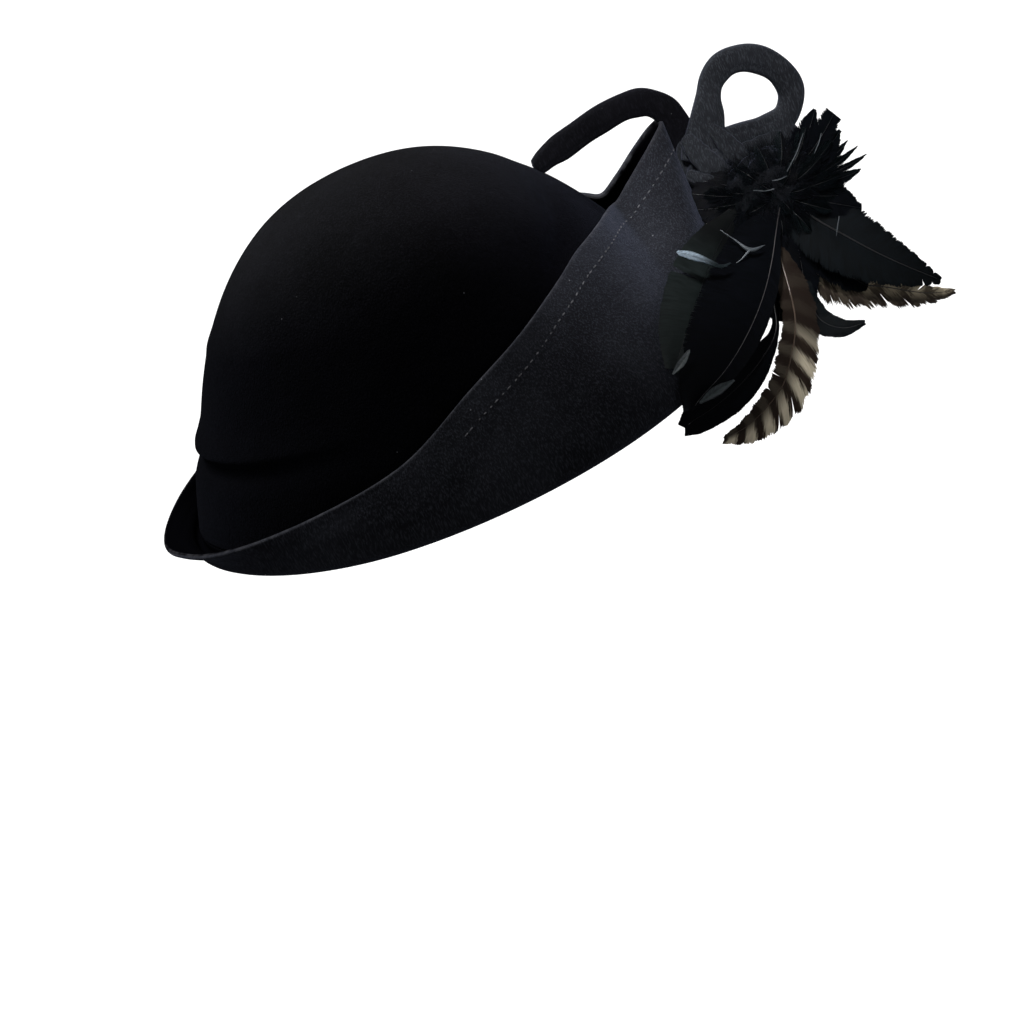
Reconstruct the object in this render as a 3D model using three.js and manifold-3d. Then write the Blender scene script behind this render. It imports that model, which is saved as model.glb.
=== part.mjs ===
// A black wool felt hat: a rounded crown, a brim turned up all round and pinched to a peak in front,
// a felt strap that runs from the crown over the peak, a bow loop, a knot and a spray of cock feathers.
// Millimetres. The front of the hat is +X, up is +Z, and the origin is the centre of the head opening,
// level with the bottom of the brim's fold. The wearer's right side is -Y.
import * as THREE from 'three';
import { mergeVertices } from 'three/addons/utils/BufferGeometryUtils.js';
import Module from 'manifold-3d';

const wasm = await Module();
wasm.setup();

// Driving sizes
const feltThickness = 2;
const fitGap = 0.35;
const crownSize = { front: 106, back: 105, side: 83 };
const crownHeight = 105.5;
const crownTaper = 1.1;
const crownRoundness = 2.42;
const crownFoot = 8;
const foldSize = { front: 113.5, back: 107, side: 91.5 };
const foldBackLift = 2;
const peakHeight = 75;
const brimBulge = 1.5;
const strapWidth = 10;
const strapThickness = 6;
const plumeThickness = 1.4;
const headCentre = new THREE.Vector3(138, -9.5, 37);
const headRadius = { x: 25, y: 12, z: 17 };
const tuftWidth = 12;

// The brim's upper edge, in degrees from the peak in front to the back. turn is where a line up the brim
// starts on the fold, edgeTurn where it ends on the edge: the lines draw together into the pinched peak.
// reach is the edge's radius as a share of the fold's front radius, rise a share of the peak's height.
const brimEdge = [
  { turn: 0, edgeTurn: 0, reach: 0.985, rise: 1 },
  { turn: 5, edgeTurn: 2.1, reach: 0.977, rise: 0.998 },
  { turn: 10, edgeTurn: 3.2, reach: 0.949, rise: 0.979 },
  { turn: 18, edgeTurn: 4.4, reach: 0.884, rise: 0.915 },
  { turn: 27, edgeTurn: 5.5, reach: 0.797, rise: 0.821 },
  { turn: 34, edgeTurn: 7, reach: 0.738, rise: 0.767 },
  { turn: 40, edgeTurn: 12, reach: 0.712, rise: 0.779 },
  { turn: 46, edgeTurn: 22.6, reach: 0.683, rise: 0.788 },
  { turn: 50, edgeTurn: 29.7, reach: 0.664, rise: 0.784 },
  { turn: 55, edgeTurn: 38.2, reach: 0.645, rise: 0.772 },
  { turn: 61, edgeTurn: 47.4, reach: 0.635, rise: 0.735 },
  { turn: 66, edgeTurn: 54.1, reach: 0.631, rise: 0.704 },
  { turn: 76, edgeTurn: 70.7, reach: 0.652, rise: 0.631 },
  { turn: 90, edgeTurn: 87.8, reach: 0.682, rise: 0.541 },
  { turn: 110, edgeTurn: 110, reach: 0.76, rise: 0.369 },
  { turn: 130, edgeTurn: 130, reach: 0.837, rise: 0.283 },
  { turn: 150, edgeTurn: 150, reach: 0.922, rise: 0.197 },
  { turn: 165, edgeTurn: 165, reach: 0.982, rise: 0.14 },
  { turn: 180, edgeTurn: 180, reach: 1.018, rise: 0.105 },
];

// The crease round the back of the crown, a soft roll above a groove. rise is a share of the crown's
// height, out is in felt thicknesses.
const backCrease = [
  { rise: 0, out: 0 },
  { rise: 0.24, out: 0.1 },
  { rise: 0.28, out: -0.35 },
  { rise: 0.31, out: -1.3 },
  { rise: 0.335, out: -0.7 },
  { rise: 0.36, out: 0.35 },
  { rise: 0.39, out: -0.1 },
  { rise: 0.44, out: -0.6 },
  { rise: 0.54, out: -0.4 },
  { rise: 0.62, out: -0.1 },
  { rise: 0.65, out: 0.2 },
  { rise: 0.7, out: 0 },
  { rise: 1, out: 0 },
];
const creaseSpread = 70;

// Rows of points up the crown, closer together over the crease: how many lie below each rise.
const crownRows = [
  { rise: 0.26, rows: 2 },
  { rise: 0.4, rows: 5 },
  { rise: 1, rows: 9 },
];

// The two soft furrows that run down the crown from the strap's root, one on each side.
const furrow = { depth: 2.6, halfWidth: 8, topRise: 0.72, topTurn: 17, bottomRise: 0.46, bottomTurn: 54 };

// Stations along the felt strap, from inside the crown over the peak to the knot; wide is a share of its width.
const strapRoute = [
  { x: 62, y: 0, z: 78, wide: 1 },
  { x: 68, y: 0, z: 80.4, wide: 1 },
  { x: 75.5, y: 0, z: 82, wide: 1 },
  { x: 88.5, y: 0, z: 84.5, wide: 1 },
  { x: 100.8, y: 0, z: 85.4, wide: 1 },
  { x: 108.5, y: 0, z: 83.6, wide: 1 },
  { x: 114.2, y: 0, z: 78.2, wide: 1 },
  { x: 116.9, y: 1, z: 71.3, wide: 1 },
  { x: 117, y: 2.5, z: 65.6, wide: 1.05 },
  { x: 116, y: 3.4, z: 59, wide: 1.1 },
];

// Stations round the bow loop, from the knot up, over, down behind the feathers and back to the knot.
const loopRoute = [
  { x: 119.5, y: -4, z: 55, wide: 1.4 },
  { x: 122.8, y: -4, z: 62, wide: 1.4 },
  { x: 127.5, y: -3.5, z: 70, wide: 1.15 },
  { x: 129.8, y: -3, z: 76.4, wide: 0.95 },
  { x: 133.4, y: -2, z: 81.5, wide: 0.95 },
  { x: 139.6, y: -1, z: 84.6, wide: 1 },
  { x: 147.6, y: 0, z: 83.6, wide: 1 },
  { x: 155.5, y: 2, z: 78.4, wide: 1 },
  { x: 160.5, y: 3, z: 71.4, wide: 1 },
  { x: 162, y: 4, z: 63.5, wide: 1 },
  { x: 157, y: 3.5, z: 56.5, wide: 1 },
  { x: 148, y: 2.5, z: 55.5, wide: 1 },
  { x: 139.5, y: 1.5, z: 57, wide: 1 },
  { x: 132, y: 1, z: 57.5, wide: 0.9 },
];

const knotCentre = new THREE.Vector3(122.5, -1.5, 52);
const knotRadius = { x: 9.5, y: 9.5, z: 9.5 };

// Each plume is a flat blade: stations of its shaft, its width there, and the way its flat side faces.
const plumes = [
  {
    name: 'plume_black_front',
    colour: 0x07090d,
    facing: [0.1, -1, 0.35],
    stations: [
      { x: 142, y: -14, z: 36.5, width: 7 },
      { x: 146.5, y: -18, z: 24.5, width: 22 },
      { x: 155, y: -22, z: 13, width: 27 },
      { x: 164.5, y: -25, z: 2, width: 22 },
      { x: 174, y: -27, z: -7.5, width: 14 },
      { x: 184, y: -28, z: -16.5, width: 3 },
    ],
  },
  {
    name: 'plume_barred_front',
    colour: 0x8c7a5c,
    facing: [0.1, -1, 0.3],
    stations: [
      { x: 142.5, y: -9.5, z: 27, width: 3 },
      { x: 140.5, y: -11, z: 16.5, width: 5 },
      { x: 142.5, y: -13, z: 3.5, width: 15 },
      { x: 152.5, y: -15, z: -7.5, width: 17 },
      { x: 166, y: -17, z: -15, width: 14 },
      { x: 180, y: -19, z: -23, width: 9 },
      { x: 191.5, y: -20, z: -26.5, width: 2 },
    ],
  },
  {
    name: 'plume_barred_hanging',
    colour: 0x9a8866,
    facing: [0.35, -1, 0.1],
    stations: [
      { x: 133.5, y: -15, z: 32, width: 3 },
      { x: 131.5, y: -21, z: 24.5, width: 4 },
      { x: 130.5, y: -27, z: 16, width: 10 },
      { x: 128.5, y: -34, z: 4, width: 17 },
      { x: 124, y: -42, z: -4.5, width: 19 },
      { x: 117, y: -49, z: -11.5, width: 21 },
      { x: 108, y: -57, z: -17, width: 20 },
      { x: 96.5, y: -65, z: -18.5, width: 16 },
      { x: 85.5, y: -72, z: -17.5, width: 10 },
      { x: 74.5, y: -78, z: -14, width: 2 },
    ],
  },
  {
    name: 'plume_black_long',
    colour: 0x06070a,
    facing: [0.3, -1, 0.35],
    stations: [
      { x: 140, y: -17, z: 38, width: 3 },
      { x: 134, y: -21, z: 33, width: 7 },
      { x: 121, y: -34, z: 28, width: 21 },
      { x: 107.5, y: -48.5, z: 22.5, width: 27 },
      { x: 94, y: -61, z: 17, width: 27 },
      { x: 82, y: -70.5, z: 12, width: 22 },
      { x: 73, y: -77, z: 8, width: 13 },
      { x: 66, y: -83, z: 3.5, width: 2 },
    ],
  },
  {
    name: 'plume_black_sheen',
    colour: 0x1c2422,
    facing: [0.45, -1, 0.2],
    stations: [
      { x: 131, y: -13, z: 43, width: 3 },
      { x: 121.5, y: -18, z: 38, width: 5 },
      { x: 107, y: -32, z: 36, width: 14 },
      { x: 95, y: -45, z: 33, width: 20 },
      { x: 84, y: -58, z: 28.5, width: 21 },
      { x: 74.5, y: -68, z: 22.5, width: 16 },
      { x: 67.5, y: -76, z: 16.5, width: 5 },
    ],
  },
  {
    name: 'plume_black_blunt',
    colour: 0x08090c,
    facing: [0.3, -1, 0.2],
    stations: [
      { x: 137, y: -12, z: 30, width: 3 },
      { x: 128, y: -20, z: 19, width: 3 },
      { x: 121, y: -31, z: 9, width: 3 },
      { x: 114.5, y: -43, z: 0, width: 4 },
      { x: 101.5, y: -54, z: -4, width: 12 },
      { x: 89, y: -62, z: -5.5, width: 15 },
      { x: 76.5, y: -70, z: -5, width: 13 },
      { x: 67.5, y: -76, z: -3.5, width: 10 },
      { x: 63, y: -79, z: -3.5, width: 5 },
    ],
  },
  {
    name: 'plume_black_fork',
    colour: 0x0a0b10,
    facing: [0.2, -1, 0.2],
    stations: [
      { x: 140.5, y: -13, z: 27, width: 3 },
      { x: 139.5, y: -16.5, z: 17, width: 3 },
      { x: 138, y: -19, z: 8, width: 4 },
      { x: 135, y: -24, z: -1.5, width: 9 },
      { x: 136, y: -28, z: -10.5, width: 10 },
      { x: 142, y: -31, z: -15.5, width: 7 },
      { x: 150, y: -33, z: -16.5, width: 2 },
    ],
  },
];

// The longest pointed tufts at the upper front of the feather head: where each tip ends.
const longTufts = [
  { x: 169.5, y: -6, z: 53.5, width: 13 },
  { x: 172.5, y: -8, z: 42, width: 12 },
  { x: 176, y: -9, z: 35, width: 11 },
  { x: 175.5, y: -10, z: 29, width: 11 },
  { x: 168, y: -9, z: 23, width: 13 },
];

// Materials
function felt(colour) {
  return new THREE.MeshStandardMaterial({ color: colour, roughness: 0.95, metalness: 0 });
}

function feather(colour) {
  return new THREE.MeshStandardMaterial({ color: colour, roughness: 0.55, metalness: 0 });
}

// A smooth value from a table: a cubic between the rows, level where a column turns back
// and, unless told otherwise, at both ends.
function tableValue(rows, key, column, at, levelEnds = true) {
  const last = rows.length - 1;
  let i = 0;
  while (i < last - 1 && at > rows[i + 1][key]) i += 1;
  const step = (k) => rows[k + 1][key] - rows[k][key];
  const slope = (k) => (rows[k + 1][column] - rows[k][column]) / step(k);
  const tangent = (k) => {
    if (k === 0) return levelEnds ? 0 : slope(0);
    if (k === last) return levelEnds ? 0 : slope(last - 1);
    const before = slope(k - 1);
    const after = slope(k);
    if (before * after <= 0) return 0;
    return (2 * before * after) / (before + after);
  };
  const h = step(i);
  const t = THREE.MathUtils.clamp((at - rows[i][key]) / h, 0, 1);
  const t2 = t * t;
  const t3 = t2 * t;
  const fromStart = (2 * t3 - 3 * t2 + 1) * rows[i][column] + (t3 - 2 * t2 + t) * h * tangent(i);
  const fromEnd = (3 * t2 - 2 * t3) * rows[i + 1][column] + (t3 - t2) * h * tangent(i + 1);
  return fromStart + fromEnd;
}

// Radius of an oval with unlike front and back halves, at a turn from the front in radians.
function ovalRadius(size, turn) {
  const length = Math.cos(turn) > 0 ? size.front : size.back;
  return 1 / Math.hypot(Math.cos(turn) / length, Math.sin(turn) / size.side);
}

function polarPoint(radius, turn, z) {
  return new THREE.Vector3(radius * Math.cos(turn), radius * Math.sin(turn), z);
}

// How far the turn is from the front, 0 to 180 degrees, the same on both sides.
function turnFromFront(turn) {
  return THREE.MathUtils.radToDeg(Math.abs(Math.atan2(Math.sin(turn), Math.cos(turn))));
}

// Radius of the crown's outside at a turn and a share of its height.
function crownRadius(turn, rise) {
  const plain = ovalRadius(crownSize, turn) * (1 - rise ** crownTaper) ** (1 / crownRoundness);
  const fromFront = turnFromFront(turn);
  const creaseFade = THREE.MathUtils.smoothstep(fromFront, 180 - creaseSpread, 180 - creaseSpread * 0.4);
  const crease = tableValue(backCrease, 'rise', 'out', rise) * feltThickness * creaseFade;
  const along = (furrow.topRise - rise) / (furrow.topRise - furrow.bottomRise);
  const centre = furrow.topTurn + along * (furrow.bottomTurn - furrow.topTurn);
  const fade = THREE.MathUtils.smoothstep(along, -0.5, 0.15) * (1 - THREE.MathUtils.smoothstep(along, 0.6, 1.4));
  const dent = furrow.depth * fade * Math.exp(-(((fromFront - centre) / furrow.halfWidth) ** 2));
  return plain + crease - dent;
}

// Point on the crown's outside; lift is an angle share that runs from 0 at the origin's level to 1 at the top.
function crownPoint(turn, lift) {
  const rise = Math.min(Math.sin((lift * Math.PI) / 2) ** (2 / crownTaper), 1);
  return polarPoint(crownRadius(turn, rise), turn, rise * crownHeight);
}

function liftOfRise(rise) {
  return (Math.asin(rise ** (crownTaper / 2)) * 2) / Math.PI;
}

// The lifts of the crown's rows, from its foot up to the row below the top.
function crownLifts() {
  const lifts = [];
  let from = liftOfRise(crownFoot / crownHeight);
  for (const band of crownRows) {
    const to = liftOfRise(band.rise);
    for (let i = 0; i < band.rows; i += 1) lifts.push(THREE.MathUtils.lerp(from, to, i / band.rows));
    from = to;
  }
  return lifts;
}

// Point on the brim's outside; lift runs from 0 at the fold to 1 at the upper edge.
function brimPoint(turn, lift) {
  const fromFront = turnFromFront(turn);
  const edgeTurn = THREE.MathUtils.degToRad(tableValue(brimEdge, 'turn', 'edgeTurn', fromFront, false));
  const reach = foldSize.front * tableValue(brimEdge, 'turn', 'reach', fromFront);
  const top = peakHeight * tableValue(brimEdge, 'turn', 'rise', fromFront);
  const side = Math.sin(turn) < 0 ? -1 : 1;
  const low = polarPoint(ovalRadius(foldSize, turn), turn, foldLevel(turn));
  const high = polarPoint(reach, side * edgeTurn, top);
  const share = lift ** brimBulge;
  return new THREE.Vector3(
    THREE.MathUtils.lerp(low.x, high.x, share),
    THREE.MathUtils.lerp(low.y, high.y, share),
    THREE.MathUtils.lerp(low.z, high.z, lift),
  );
}

// Radius of the felt's middle round the brim's fold.
function foldBend(turn) {
  return (ovalRadius(foldSize, turn) - crownRadius(turn, crownFoot / crownHeight)) / 2;
}

// Height of the fold's middle: it rests at the origin's level, and lifts a little at the back.
function foldLevel(turn) {
  return foldBend(turn) + feltThickness / 2 + foldBackLift * THREE.MathUtils.smoothstep(turnFromFront(turn), 115, 165);
}

// A point of a surface moved in by some depth along the surface's own normal.
function inset(surface, turn, lift, depth) {
  const turnStep = 0.002;
  const liftStep = 0.002;
  const low = Math.max(lift - liftStep, 0);
  const high = Math.min(lift + liftStep, 1 - liftStep / 2);
  const around = surface(turn + turnStep, lift).sub(surface(turn - turnStep, lift));
  const upward = surface(turn, high).sub(surface(turn, low));
  const normal = around.cross(upward).normalize();
  return surface(turn, lift).addScaledVector(normal, -depth);
}

// Turns round the hat, closer together towards the peak in front.
function turnsAround(halfCount, crowding) {
  const turns = [];
  for (let i = -halfCount; i < halfCount; i += 1) {
    turns.push(Math.sign(i) * Math.PI * (Math.abs(i) / halfCount) ** crowding);
  }
  return turns;
}

// Closed body from rings of points. Rings may close on each other, or end in caps or single points.
function bodyFromRings(rings, ringsClose) {
  const positions = [];
  const index = [];
  const count = rings[0].length;
  const ringTotal = rings.length;
  for (const ring of rings) {
    for (const p of ring) positions.push(p.x, p.y, p.z);
  }
  const pairs = ringsClose ? ringTotal : ringTotal - 1;
  for (let r = 0; r < pairs; r += 1) {
    const a = r * count;
    const b = ((r + 1) % ringTotal) * count;
    for (let k = 0; k < count; k += 1) {
      const n = (k + 1) % count;
      index.push(a + k, a + n, b + n, a + k, b + n, b + k);
    }
  }
  if (!ringsClose) {
    const end = (ringTotal - 1) * count;
    for (let k = 1; k < count - 1; k += 1) {
      index.push(0, k + 1, k);
      index.push(end, end + k, end + k + 1);
    }
  }
  return tidyBody(positions, index);
}

// Merge shared points, drop triangles without area and turn the faces outward.
function tidyBody(positions, index) {
  const raw = new THREE.BufferGeometry();
  raw.setAttribute('position', new THREE.Float32BufferAttribute(positions, 3));
  raw.setIndex(index);
  const merged = mergeVertices(raw, 1e-3);
  const place = merged.getAttribute('position');
  const point = (i) => new THREE.Vector3().fromBufferAttribute(place, i);
  const kept = [];
  let volume = 0;
  for (let i = 0; i < merged.index.count; i += 3) {
    const [a, b, c] = [0, 1, 2].map((k) => merged.index.getX(i + k));
    if (a === b || b === c || a === c) continue;
    kept.push([a, b, c]);
    volume += point(a).dot(point(b).cross(point(c)));
  }
  const facing = volume > 0 ? kept : kept.map(([a, b, c]) => [a, c, b]);
  merged.setIndex(facing.flat());
  return merged;
}

function toManifold(geometry) {
  return new wasm.Manifold(new wasm.Mesh({
    numProp: 3,
    vertProperties: new Float32Array(geometry.getAttribute('position').array),
    triVerts: new Uint32Array(geometry.index.array),
  }));
}

function fromManifold(solid) {
  const mesh = solid.getMesh();
  const geometry = new THREE.BufferGeometry();
  geometry.setAttribute('position', new THREE.Float32BufferAttribute(mesh.vertProperties, mesh.numProp));
  geometry.setIndex(Array.from(mesh.triVerts));
  return geometry;
}

// The crown: a dome open below, its inside one felt thickness in from its outside.
function crownBody() {
  const lifts = crownLifts();
  const rings = turnsAround(25, 1.15).map((turn) => {
    const outside = lifts.map((lift) => crownPoint(turn, lift));
    const inside = lifts.map((lift) => inset(crownPoint, turn, lift, feltThickness));
    inside[0].z = crownFoot;
    outside.push(new THREE.Vector3(0, 0, crownHeight));
    inside.push(new THREE.Vector3(0, 0, crownHeight - feltThickness));
    return [...outside, ...inside.reverse()];
  });
  return bodyFromRings(rings, true);
}

// The crown's outside as one filled solid, a little larger, to cut what stands on it.
function crownClearance() {
  const lifts = crownLifts();
  const rings = turnsAround(25, 1.15).map((turn) => [
    new THREE.Vector3(0, 0, crownFoot),
    ...lifts.map((lift) => inset(crownPoint, turn, lift, -fitGap)),
    new THREE.Vector3(0, 0, crownHeight + fitGap),
  ]);
  return toManifold(bodyFromRings(rings, true));
}

// The brim: a lip under the crown's foot, the fold, and the turned-up wall to its cut edge.
// margin makes the wall thicker on both sides, to cut what lies on it.
function brimBody(margin = 0) {
  const bendSteps = 5;
  const wallSteps = 6;
  const rings = turnsAround(32, 1.3).map((turn) => {
    const lip = crownRadius(turn, crownFoot / crownHeight);
    const bend = foldBend(turn);
    const centre = lip + bend - feltThickness / 2;
    const level = foldLevel(turn);
    const half = feltThickness / 2 + margin;
    const low = [polarPoint(lip - feltThickness, turn, crownFoot - fitGap)];
    const high = [polarPoint(lip, turn, crownFoot - fitGap)];
    for (let i = 0; i <= bendSteps; i += 1) {
      const angle = Math.PI + (Math.PI * i) / bendSteps;
      const out = Math.cos(angle);
      const up = Math.sin(angle);
      low.push(polarPoint(centre + (bend + half) * out, turn, level + (bend + half) * up));
      high.push(polarPoint(centre + (bend - half) * out, turn, level + (bend - half) * up));
    }
    for (let i = 1; i <= wallSteps; i += 1) {
      const lift = i / wallSteps;
      low.push(inset(brimPoint, turn, lift, -margin));
      high.push(inset(brimPoint, turn, lift, feltThickness + margin));
    }
    low[low.length - 1].z += margin;
    high[high.length - 1].z += margin;
    return [...low, ...high.reverse()];
  });
  return bodyFromRings(rings, true);
}

function smoothRoute(stations) {
  const points = stations.map((s) => new THREE.Vector3(s.x, s.y, s.z));
  return new THREE.CatmullRomCurve3(points, false, 'centripetal');
}

// A clearance also reaches past both ends of its route.
function endMargin(section, sections, margin) {
  if (section === 0) return -margin;
  return section === sections ? margin : 0;
}

// A rounded felt strip along a route in the hat's middle plane; width lies in that plane.
function stripBody(route, sections, margin = 0) {
  const sides = 12;
  const curve = smoothRoute(route);
  const shares = route.map((s, i) => ({ at: i / (route.length - 1), wide: s.wide }));
  const rings = [];
  for (let i = 0; i <= sections; i += 1) {
    const share = i / sections;
    const along = curve.getTangent(share);
    const at = curve.getPoint(share).addScaledVector(along, endMargin(i, sections, margin));
    const half = (strapWidth / 2) * tableValue(shares, 'at', 'wide', share) + margin;
    const across = new THREE.Vector3(0, 1, 0);
    const outward = new THREE.Vector3().crossVectors(across, along).normalize();
    const sideways = new THREE.Vector3().crossVectors(along, outward).normalize();
    const ring = [];
    for (let k = 0; k < sides; k += 1) {
      const angle = (2 * Math.PI * k) / sides;
      const wide = half * Math.cos(angle);
      const thick = (strapThickness / 2 + margin) * Math.sin(angle);
      ring.push(at.clone().addScaledVector(outward, wide).addScaledVector(sideways, thick));
    }
    rings.push(ring);
  }
  return bodyFromRings(rings, false);
}

// One plume: a blade with a lens section, widest where its stations say.
function plumeBody(plume, margin = 0) {
  const sections = 13;
  const curve = smoothRoute(plume.stations);
  const steps = plume.stations.map((s, i) => ({ at: i / (plume.stations.length - 1), width: s.width }));
  const rings = [];
  for (let i = 0; i <= sections; i += 1) {
    const share = i / sections;
    const along = curve.getTangent(share);
    const at = curve.getPoint(share).addScaledVector(along, endMargin(i, sections, margin));
    const side = new THREE.Vector3(...plume.facing).cross(along).normalize();
    const flat = new THREE.Vector3().crossVectors(along, side).normalize();
    const half = tableValue(steps, 'at', 'width', share) / 2 + margin;
    const thick = plumeThickness / 2 + margin;
    const outline = [[1, 0], [0.5, 0.8], [0, 1], [-0.5, 0.8], [-1, 0], [-0.5, -0.8], [0, -1], [0.5, -0.8]];
    rings.push(outline.map(([w, t]) => at.clone().addScaledVector(side, w * half).addScaledVector(flat, t * thick)));
  }
  return bodyFromRings(rings, false);
}

// A ball stretched to three radii, as a solid.
function ballSolid(centre, radius, detail) {
  const ball = new THREE.SphereGeometry(1, detail * 2, detail);
  ball.scale(radius.x, radius.y, radius.z);
  ball.translate(centre.x, centre.y, centre.z);
  ball.deleteAttribute('normal');
  ball.deleteAttribute('uv');
  const merged = mergeVertices(ball, 1e-3);
  return toManifold(tidyBody(Array.from(merged.getAttribute('position').array), Array.from(merged.index.array)));
}

// A pointed tuft from inside the feather head to its tip.
function tuftSolid(from, tip, width) {
  const sides = 5;
  const shares = [{ at: 0, wide: 1 }, { at: 0.78, wide: 0.85 }, { at: 1, wide: 0.2 }];
  const along = new THREE.Vector3().subVectors(tip, from);
  const outward = new THREE.Vector3(0, 1, 0).cross(along).normalize();
  const sideways = new THREE.Vector3().crossVectors(along, outward).normalize();
  const rings = shares.map(({ at, wide }) => {
    const centre = from.clone().addScaledVector(along, at);
    const ring = [];
    for (let k = 0; k < sides; k += 1) {
      const angle = (2 * Math.PI * k) / sides;
      const half = (width / 2) * wide;
      ring.push(centre.clone()
        .addScaledVector(outward, half * Math.cos(angle))
        .addScaledVector(sideways, half * Math.sin(angle) * 0.6));
    }
    return ring;
  });
  return toManifold(bodyFromRings(rings, false));
}

// The downy head that hides the plumes' roots: a core with short tufts all over its upper and far sides,
// slotted where the plumes and the bow loop enter it.
function headBody(clearances) {
  const golden = Math.PI * (3 - Math.sqrt(5));
  const tufts = 25;
  let solid = ballSolid(headCentre, headRadius, 9);
  for (let i = 0; i < tufts; i += 1) {
    const height = 1 - (2 * (i + 0.5)) / tufts;
    const ring = Math.sqrt(1 - height * height);
    const way = new THREE.Vector3(ring * Math.cos(i * golden), ring * Math.sin(i * golden), height);
    const reach = new THREE.Vector3(way.x * headRadius.x, way.y * headRadius.y, way.z * headRadius.z);
    for (const length of [1.4 + 0.12 * Math.sin(i * 2.4), 1.25, 1.15]) {
      const tuft = tuftSolid(headCentre, reach.clone().multiplyScalar(length).add(headCentre), tuftWidth);
      if (clearances.some((c) => c.intersect(tuft).volume() > 1e-6)) continue;
      solid = solid.add(tuft);
      break;
    }
  }
  for (const tuft of longTufts) {
    solid = solid.add(tuftSolid(headCentre, new THREE.Vector3(tuft.x, tuft.y, tuft.z), tuft.width));
  }
  for (const clearance of clearances) solid = solid.subtract(clearance);
  return fromManifold(solid);
}

const hat = new THREE.Group();

function addPiece(name, geometry, material) {
  const mesh = new THREE.Mesh(geometry, material);
  mesh.name = name;
  hat.add(mesh);
}

const blackFelt = felt(0x0a0b10);
const crownCut = crownClearance();
const brimCut = toManifold(brimBody(fitGap));
const strapCut = toManifold(stripBody(strapRoute, 24, fitGap));
const loopCut = toManifold(stripBody(loopRoute, 28, fitGap));
const plumeCuts = plumes.map((plume) => toManifold(plumeBody(plume, 1.6 * fitGap)));

addPiece('crown', crownBody(), blackFelt);
addPiece('brim', brimBody(), felt(0x0d0e14));
addPiece('strap', fromManifold(toManifold(stripBody(strapRoute, 24)).subtract(crownCut).subtract(brimCut)), blackFelt);
addPiece('bow_loop', stripBody(loopRoute, 28), felt(0x0b0c11));

const knot = ballSolid(knotCentre, knotRadius, 8).subtract(strapCut).subtract(loopCut).subtract(brimCut);
addPiece('knot', fromManifold(knot), felt(0x08090d));

const knotCut = ballSolid(knotCentre, {
  x: knotRadius.x + fitGap,
  y: knotRadius.y + fitGap,
  z: knotRadius.z + fitGap,
}, 8);
addPiece('feather_head', headBody([...plumeCuts, loopCut, strapCut, knotCut, brimCut]), feather(0x050608));
for (const plume of plumes) addPiece(plume.name, plumeBody(plume), feather(plume.colour));

export default hat;
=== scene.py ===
# %% [markdown]
# A black wool felt hat with a spray of cock feathers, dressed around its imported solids.
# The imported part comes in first, as a fixed frame: metres, front +X, up +Z, the wearer's right -Y.
# Nothing in it is moved. Each main piece below takes the place of one solid, and small soft ones are
# added to it.

# %% Load the frame
import bpy
from mathutils import Matrix
import numpy as np


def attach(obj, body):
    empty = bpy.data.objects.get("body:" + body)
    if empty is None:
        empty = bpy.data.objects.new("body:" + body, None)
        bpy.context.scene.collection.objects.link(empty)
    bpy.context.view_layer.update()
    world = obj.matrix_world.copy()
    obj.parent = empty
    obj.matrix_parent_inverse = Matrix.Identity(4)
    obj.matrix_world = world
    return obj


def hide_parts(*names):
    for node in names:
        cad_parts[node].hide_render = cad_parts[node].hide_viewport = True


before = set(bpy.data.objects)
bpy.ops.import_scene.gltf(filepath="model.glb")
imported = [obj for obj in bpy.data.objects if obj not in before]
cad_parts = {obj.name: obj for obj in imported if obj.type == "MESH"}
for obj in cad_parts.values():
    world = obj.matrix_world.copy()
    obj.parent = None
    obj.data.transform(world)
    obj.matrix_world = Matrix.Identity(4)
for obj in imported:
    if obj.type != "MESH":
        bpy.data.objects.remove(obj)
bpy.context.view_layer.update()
print("solids:", sorted(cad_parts))

# %% [markdown]
# The camera. It was worked out from the hat's outlines in the photograph: it looks down a little and
# leans to one side, so that the hat's front rises in the picture. A camera that leans is a turned
# rotation matrix, whose columns are the picture's right, its up, and the way back to the camera.

# %% Camera
ELEVATION, AZIMUTH, LEAN = np.radians([24.07, -4.76, 23.41])
LOOKED_AT = np.array([0.0059, 0.0, -0.03953])
DISTANCE = 0.676
LENS_MM, SENSOR_MM = 62.1, 36


def leaning_camera():
    """Right is the forward way crossed with up; both are then turned by the lean about the forward way."""
    level = np.array([np.sin(AZIMUTH), -np.cos(AZIMUTH), 0])
    back = level * np.cos(ELEVATION) + np.array([0, 0, np.sin(ELEVATION)])
    right = np.cross(-back, [0, 0, 1])
    right /= np.linalg.norm(right)
    up = np.cross(right, -back)
    leaned_right = right * np.cos(LEAN) - up * np.sin(LEAN)
    leaned_up = right * np.sin(LEAN) + up * np.cos(LEAN)
    matrix = np.eye(4)
    matrix[:3, :3] = np.stack([leaned_right, leaned_up, back], axis=1)
    matrix[:3, 3] = LOOKED_AT + back * DISTANCE
    return matrix


camera = bpy.data.objects.new("camera", bpy.data.cameras.new("camera"))
bpy.context.scene.collection.objects.link(camera)
camera.data.lens = LENS_MM
camera.data.sensor_width = SENSOR_MM
camera.data.clip_start = 0.01
camera.matrix_world = Matrix(leaning_camera().tolist())
bpy.context.scene.camera = camera
print("camera at", [round(float(v), 3) for v in camera.matrix_world.translation])

# %% [markdown]
# Helpers for shapes. Most pieces here are grids: rows of points that run round or along the piece.
# One helper turns a grid into a closed mesh, one fills a mesh from whole arrays, and one reads smooth
# values out of the short tables that describe the hat.

# %% Mesh helpers
MM = 0.001


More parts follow.
